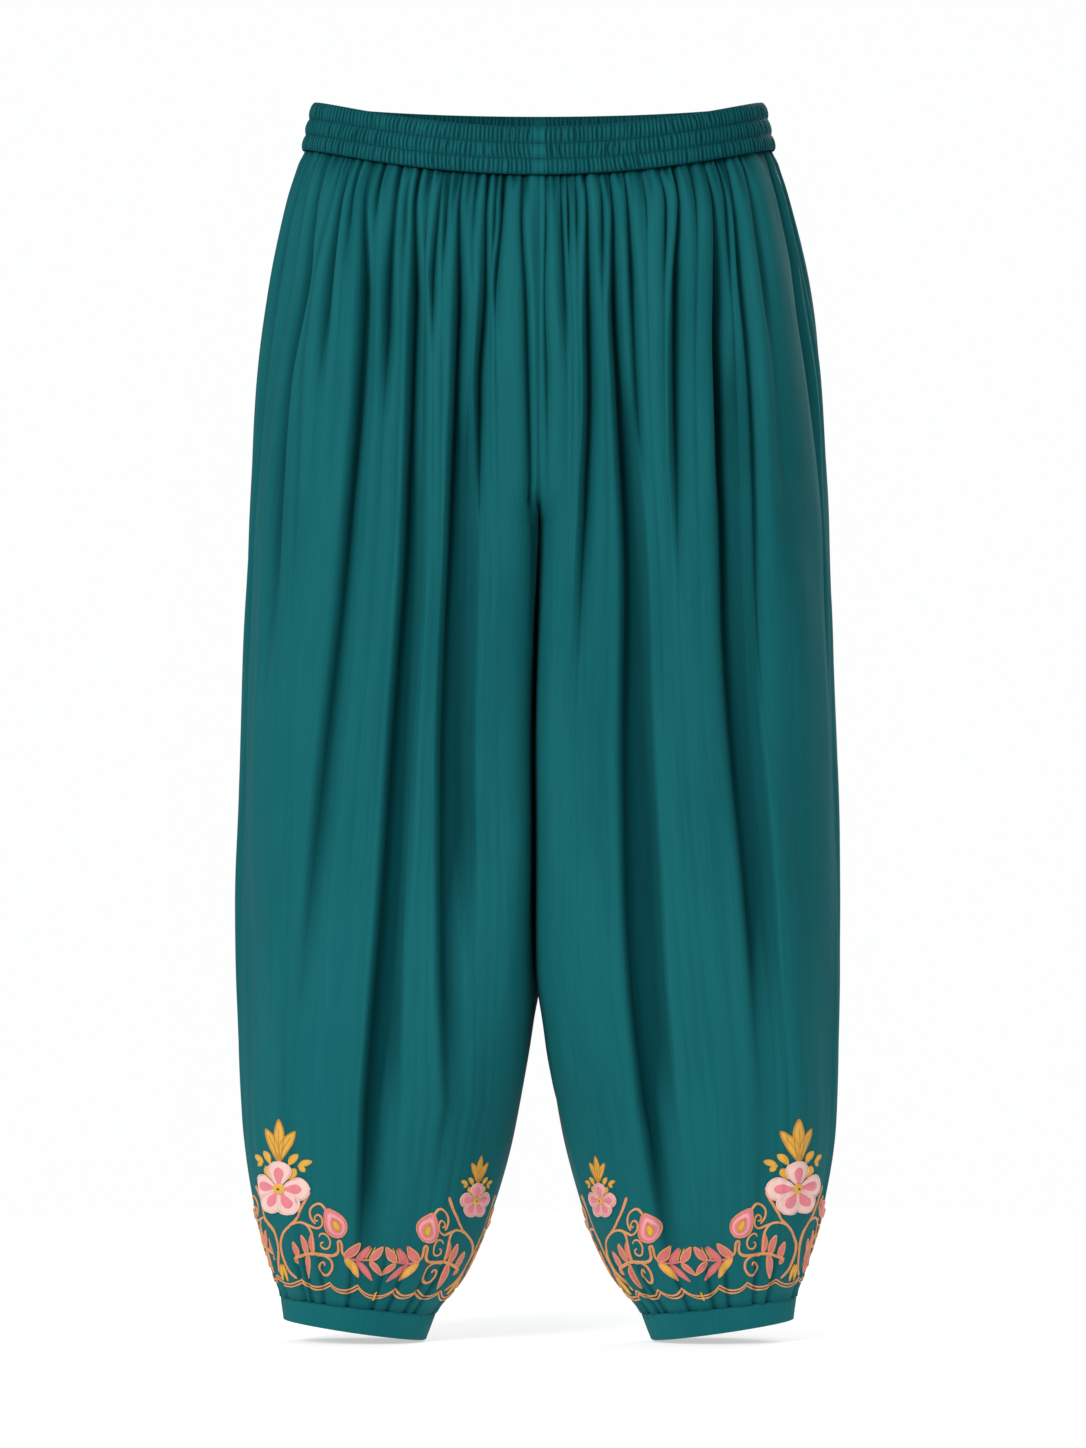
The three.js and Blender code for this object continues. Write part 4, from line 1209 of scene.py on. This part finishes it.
def drawing_on(ring):
    """Turns a place in the drawing into a share of the half motif and a level on the cloth.

    The drawing is as the eye in front sees it, and the cloth lies nearer than the middle plane.
    """
    def drawn(points):
        seen_distance, seen_height = BIG_AXIS - points[:, 0], MOTIF_TOP - points[:, 1]
        distance, height, level = seen_distance, seen_height, seen_height
        for _ in range(DRAWING.rounds):
            section = leg_section(level)
            across = across_at(section, FRONT, distance)
            nearer = 1 + oval_point(section, LEFT, FRONT, across)[1] / abs(EYE[1])
            distance = seen_distance * nearer
            height = EYE[2] + (seen_height - EYE[2]) * nearer
            level = level + height - height_of(section, FRONT, across)
        section = leg_section(level)
        middle = section.centre - BIG_AXIS_SHARE(level) * section.radius
        steps = np.linspace(0, 1, DRAWING.steps)[:, None]
        start, end = (across_at(section, FRONT, at) for at in (middle, distance))
        x, y = oval_point(section, LEFT, FRONT, lerp(start, end, steps))
        length = np.sum(np.hypot(np.diff(x, axis=0), np.diff(y, axis=0)), axis=0)
        length = length * np.sign(middle - distance)
        return length / ring.at_level(ring.sprays["front"] * ring.total, level), level

    return drawn


def embroider(name, front, back, materials):
    ring = Ring(front, back)
    threads = {colour: Threads() for colour in materials}
    ring_embroidery(threads, ring, drawing_on(ring))
    return [
        threads[colour].mesh(f"embroidery_{colour}_{name}", material)
        for colour, material in materials.items()
    ]


# Materials, in metres of cloth. A grain is how fine its noise is, how many layers it has, and how
# many times longer it is down the cloth than across.
TEAL = (0.0042, 0.109, 0.120)
TEAL_LIGHT = (0.0080, 0.127, 0.139)
TEAL_DARK = (0.0030, 0.092, 0.103)
# fold_shade is the colour of the painted shade in the folds, reached where the fold attribute is
# fold_full.
CLOTH_LOOK = SimpleNamespace(
    rough=0.62, specular=0.04, sheen=0.03, sheen_rough=0.45, sheen_tint=(0.35, 0.8, 0.82),
    streaks=(520, 3, 30), patches=(16, 2, 4), hairs=(1500, 2, 14), streak_ends=(0.22, 0.82),
    patch_ends=(0.3, 0.7), patch_share=0.5, fold_shade=(0.03, 0.37, 0.39), fold_full=13,
    thread_pitch=0.00042, weave_share=0.25, hair_share=0.5, bump=(0.5, 0.00026),
)
THREAD_LOOK = SimpleNamespace(
    rough=0.42, stitch_pitch=0.00055, slant=0.8, grain=(1400, 2, 1), grain_share=1.2,
    stitch_shade=0.22, tone_ends=(0.25, 0.65), bump=(0.5, 0.00015),
)
SEWING_THREAD = ((0.0025, 0.068, 0.077), (0.0015, 0.045, 0.051))

# The light and the dark colour of each embroidery thread, between which its grain and the painted shade
# of its stitches move
THREAD_COLOURS = {
    "gold": ((0.80, 0.44, 0.055), (0.62, 0.30, 0.030)),
    "ochre": ((0.60, 0.29, 0.030), (0.46, 0.20, 0.020)),
    "peach": ((0.78, 0.34, 0.125), (0.62, 0.24, 0.085)),
    "pink": ((0.66, 0.165, 0.165), (0.56, 0.125, 0.125)),
    "rose": ((0.80, 0.225, 0.275), (0.68, 0.155, 0.200)),
    "blush": ((0.83, 0.400, 0.400), (0.74, 0.270, 0.290)),
    "pale": ((0.87, 0.60, 0.545), (0.80, 0.47, 0.43)),
    "eye": ((0.10, 0.035, 0.03), (0.07, 0.02, 0.02)),
}


class Look:
    """Builds a material. Every value is a number, a colour or the output of another node."""

    def __init__(self, name, color, roughness):
        self.material = bpy.data.materials.new(name)
        self.material.use_nodes = True
        self.nodes, self.links = self.material.node_tree.nodes, self.material.node_tree.links
        self.shader = self.nodes["Principled BSDF"]
        self.put(self.shader, "Base Color", color)
        self.put(self.shader, "Roughness", roughness)

    def put(self, node, socket, value):
        if isinstance(value, (int, float)):
            node.inputs[socket].default_value = value
        elif isinstance(value, tuple):
            node.inputs[socket].default_value = (*value, 1)
        else:
            self.links.new(value, node.inputs[socket])

    def math(self, operation, first, second=0):
        node = self.nodes.new("ShaderNodeMath")
        node.operation = operation
        self.put(node, 0, first)
        self.put(node, 1, second)
        return node.outputs[0]

    def uv(self):
        """The place on the cloth in metres, and its parts across and down."""
        uv = self.nodes.new("ShaderNodeUVMap").outputs["UV"]
        split = self.nodes.new("ShaderNodeSeparateXYZ")
        self.put(split, "Vector", uv)
        return uv, split.outputs["X"], split.outputs["Y"]

    def noise(self, vector, scale, detail, stretch):
        mapping = self.nodes.new("ShaderNodeMapping")
        mapping.inputs["Scale"].default_value = (scale, scale / stretch, scale)
        self.put(mapping, "Vector", vector)
        texture = self.nodes.new("ShaderNodeTexNoise")
        self.put(texture, "Scale", 1)
        self.put(texture, "Detail", detail)
        self.put(texture, "Vector", mapping.outputs["Vector"])
        return texture.outputs["Fac"]

    def ramp(self, value, places, colors):
        node = self.nodes.new("ShaderNodeValToRGB")
        for element, place, color in zip(node.color_ramp.elements, places, colors):
            element.position = place
            element.color = (*color, 1)
        self.put(node, "Fac", value)
        return node.outputs["Color"]

    def mix(self, blend, factor, first, second):
        node = self.nodes.new("ShaderNodeMix")
        node.data_type = "RGBA"
        node.blend_type = blend
        for socket, value in ((0, factor), (6, first), (7, second)):
            self.put(node, socket, value)
        return node.outputs[2]

    def bump(self, height, strength, distance):
        node = self.nodes.new("ShaderNodeBump")
        self.put(node, "Strength", strength)
        self.put(node, "Distance", distance)
        self.put(node, "Height", height)
        self.put(self.shader, "Normal", node.outputs["Normal"])


def cloth_material():
    """Teal crepe with a fine plain weave, with painted shade from the fold attribute in its folds."""
    numbers = CLOTH_LOOK
    look = Look("teal_cloth", TEAL, numbers.rough)
    uv, across, down = look.uv()
    streaks, patches = look.noise(uv, *numbers.streaks), look.noise(uv, *numbers.patches)
    hairs = look.noise(uv, *numbers.hairs)
    teals = (TEAL_DARK, TEAL_LIGHT)
    streaked = look.ramp(streaks, numbers.streak_ends, teals)
    patched = look.ramp(patches, numbers.patch_ends, teals)
    tone = look.mix("MIX", numbers.patch_share, streaked, patched)
    # Painted shade: the fold attribute multiplies the teal towards fold_shade.
    fold = look.nodes.new("ShaderNodeAttribute")
    fold.attribute_name = "fold"
    shade = look.math("DIVIDE", fold.outputs["Fac"], numbers.fold_full)
    look.put(look.shader, "Base Color", look.mix("MULTIPLY", shade, tone, numbers.fold_shade))
    look.put(look.shader, "Specular IOR Level", numbers.specular)
    look.put(look.shader, "Sheen Weight", numbers.sheen)
    look.put(look.shader, "Sheen Roughness", numbers.sheen_rough)
    look.put(look.shader, "Sheen Tint", numbers.sheen_tint)
    turns = 2 * math.pi / numbers.thread_pitch
    warp, weft = (look.math("SINE", look.math("MULTIPLY", place, turns)) for place in (across, down))
    weave = look.math("MULTIPLY", look.math("MULTIPLY", warp, weft), numbers.weave_share)
    height = look.math("ADD", weave, streaks)
    height = look.math("ADD", height, look.math("MULTIPLY", hairs, numbers.hair_share))
    look.bump(height, *numbers.bump)
    return look.material


def thread_material(name, light, dark, specular=0.3, sheen=0.08):
    """Silky thread: stitches side by side across the strip, slanted like a rope, with painted shade in
    their grooves.
    """
    numbers = THREAD_LOOK
    look = Look(name, light, numbers.rough)
    uv, along, across = look.uv()
    slant = look.math("MULTIPLY", look.math("ABSOLUTE", across), numbers.slant)
    turns = 2 * math.pi / numbers.stitch_pitch
    stitch = look.math("SINE", look.math("MULTIPLY", look.math("ADD", along, slant), turns))
    grain = look.noise(uv, *numbers.grain)
    # Painted shade: the colour is darker in the grooves between stitches, and the grain adds random tone.
    level = look.math("ADD", look.math("MULTIPLY", stitch, numbers.stitch_shade), grain)
    look.put(look.shader, "Base Color", look.ramp(level, numbers.tone_ends, (dark, light)))
    look.put(look.shader, "Specular IOR Level", specular)
    look.put(look.shader, "Sheen Weight", sheen)
    height = look.math("ADD", stitch, look.math("MULTIPLY", grain, numbers.grain_share))
    look.bump(height, *numbers.bump)
    return look.material


# Camera, light and floor
EYE = (3.5, -6000, -471)
LENS = 188.8
SENSOR = 36
CLIP_END = 60
LIT_MIDDLE = (0, 0, -420)

# Area lights: place, size of the square, and watts
LIGHTS = {
    "key": ((-2300, -3200, 1500), 2000, 142),
    "fill": ((2600, -2600, 300), 2200, 22),
    "back_key": ((1900, 3000, 1500), 2000, 80),
}
WHITE = (1, 1, 1)
BLACK = (0, 0, 0)
BACKGROUND = (0.985, 0.99, 0.99)
WORLD_STRENGTH = 0.43
FLOOR = SimpleNamespace(
    z=-958.5, radius=1600, corners=96, color=(0.72, 0.725, 0.725), rough=0.9, specular=0.1, glow=0.51,
    fade=(0.3, 1.0),
)


def look_at(thing, place, target):
    thing.location = Vector(place) * MM
    aim = (Vector(target) - Vector(place)).normalized()
    thing.rotation_mode = "QUATERNION"
    thing.rotation_quaternion = aim.to_track_quat("-Z", "Y")
    bpy.context.scene.collection.objects.link(thing)


def camera():
    data = bpy.data.cameras.new("camera")
    data.lens = LENS
    data.sensor_width = SENSOR
    data.clip_end = CLIP_END
    thing = bpy.data.objects.new("camera", data)
    look_at(thing, EYE, (EYE[0], 0, EYE[2]))
    bpy.context.scene.camera = thing


def studio():
    for name, (place, size, watts) in LIGHTS.items():
        data = bpy.data.lights.new(name, "AREA")
        data.shape = "SQUARE"
        data.size = size * MM
        data.energy = watts
        look_at(bpy.data.objects.new(name, data), place, LIT_MIDDLE)
    world = bpy.data.worlds.new("studio")
    bpy.context.scene.world = world
    world.use_nodes = True
    nodes, links = world.node_tree.nodes, world.node_tree.links
    light = nodes["Background"]
    light.inputs["Color"].default_value = (*WHITE, 1)
    light.inputs["Strength"].default_value = WORLD_STRENGTH
    seen = nodes.new("ShaderNodeBackground")
    seen.inputs["Color"].default_value = (*BACKGROUND, 1)
    path = nodes.new("ShaderNodeLightPath")
    mix = nodes.new("ShaderNodeMixShader")
    links.new(path.outputs["Is Camera Ray"], mix.inputs["Fac"])
    links.new(light.outputs["Background"], mix.inputs[1])
    links.new(seen.outputs["Background"], mix.inputs[2])
    links.new(mix.outputs["Shader"], nodes["World Output"].inputs["Surface"])
    bpy.context.scene.view_settings.view_transform = "Standard"


def floor():
    """A pale disc that fades out into the background."""
    look = Look("floor", FLOOR.color, FLOOR.rough)
    look.put(look.shader, "Specular IOR Level", FLOOR.specular)
    look.put(look.shader, "Emission Color", WHITE)
    look.put(look.shader, "Emission Strength", FLOOR.glow)
    radius = FLOOR.radius * MM
    place = look.nodes.new("ShaderNodeTexCoord")
    length = look.nodes.new("ShaderNodeVectorMath")
    length.operation = "LENGTH"
    look.put(length, 0, place.outputs["Object"])
    out = look.math("DIVIDE", length.outputs["Value"], radius)
    look.put(look.shader, "Alpha", look.ramp(out, FLOOR.fade, (WHITE, BLACK)))
    location = (0, 0, FLOOR.z * MM)
    bpy.ops.mesh.primitive_circle_add(
        vertices=FLOOR.corners, radius=radius, fill_type="NGON", location=location
    )
    disc = bpy.context.object
    disc.name = "floor"
    disc.data.materials.append(look.material)


camera()
studio()
floor()

cloth = cloth_material()
panels = {name: Panel(name) for name in PANELS}
panel_pieces = {name: leg_cloth(panel, cloth) for name, panel in panels.items()}
band_pieces = {name: waistband("waistband_" + name, side, cloth) for name, side in SIDES.items()}
cuff_pieces = {name: cuff("cuff_" + name, side, cloth) for name, side in SIDES.items()}
sewing = thread_material("sewing_thread", *SEWING_THREAD, specular=0.08, sheen=0.0)
band_seams = {name: band_stitches("band_stitches_" + name, side, sewing) for name, side in SIDES.items()}
thread = {
    colour: thread_material("thread_" + colour, light, dark)
    for colour, (light, dark) in THREAD_COLOURS.items()
}
stitched = {
    name: embroider(name, panels["front_" + name], panels["back_" + name], thread) for name in SIDES
}
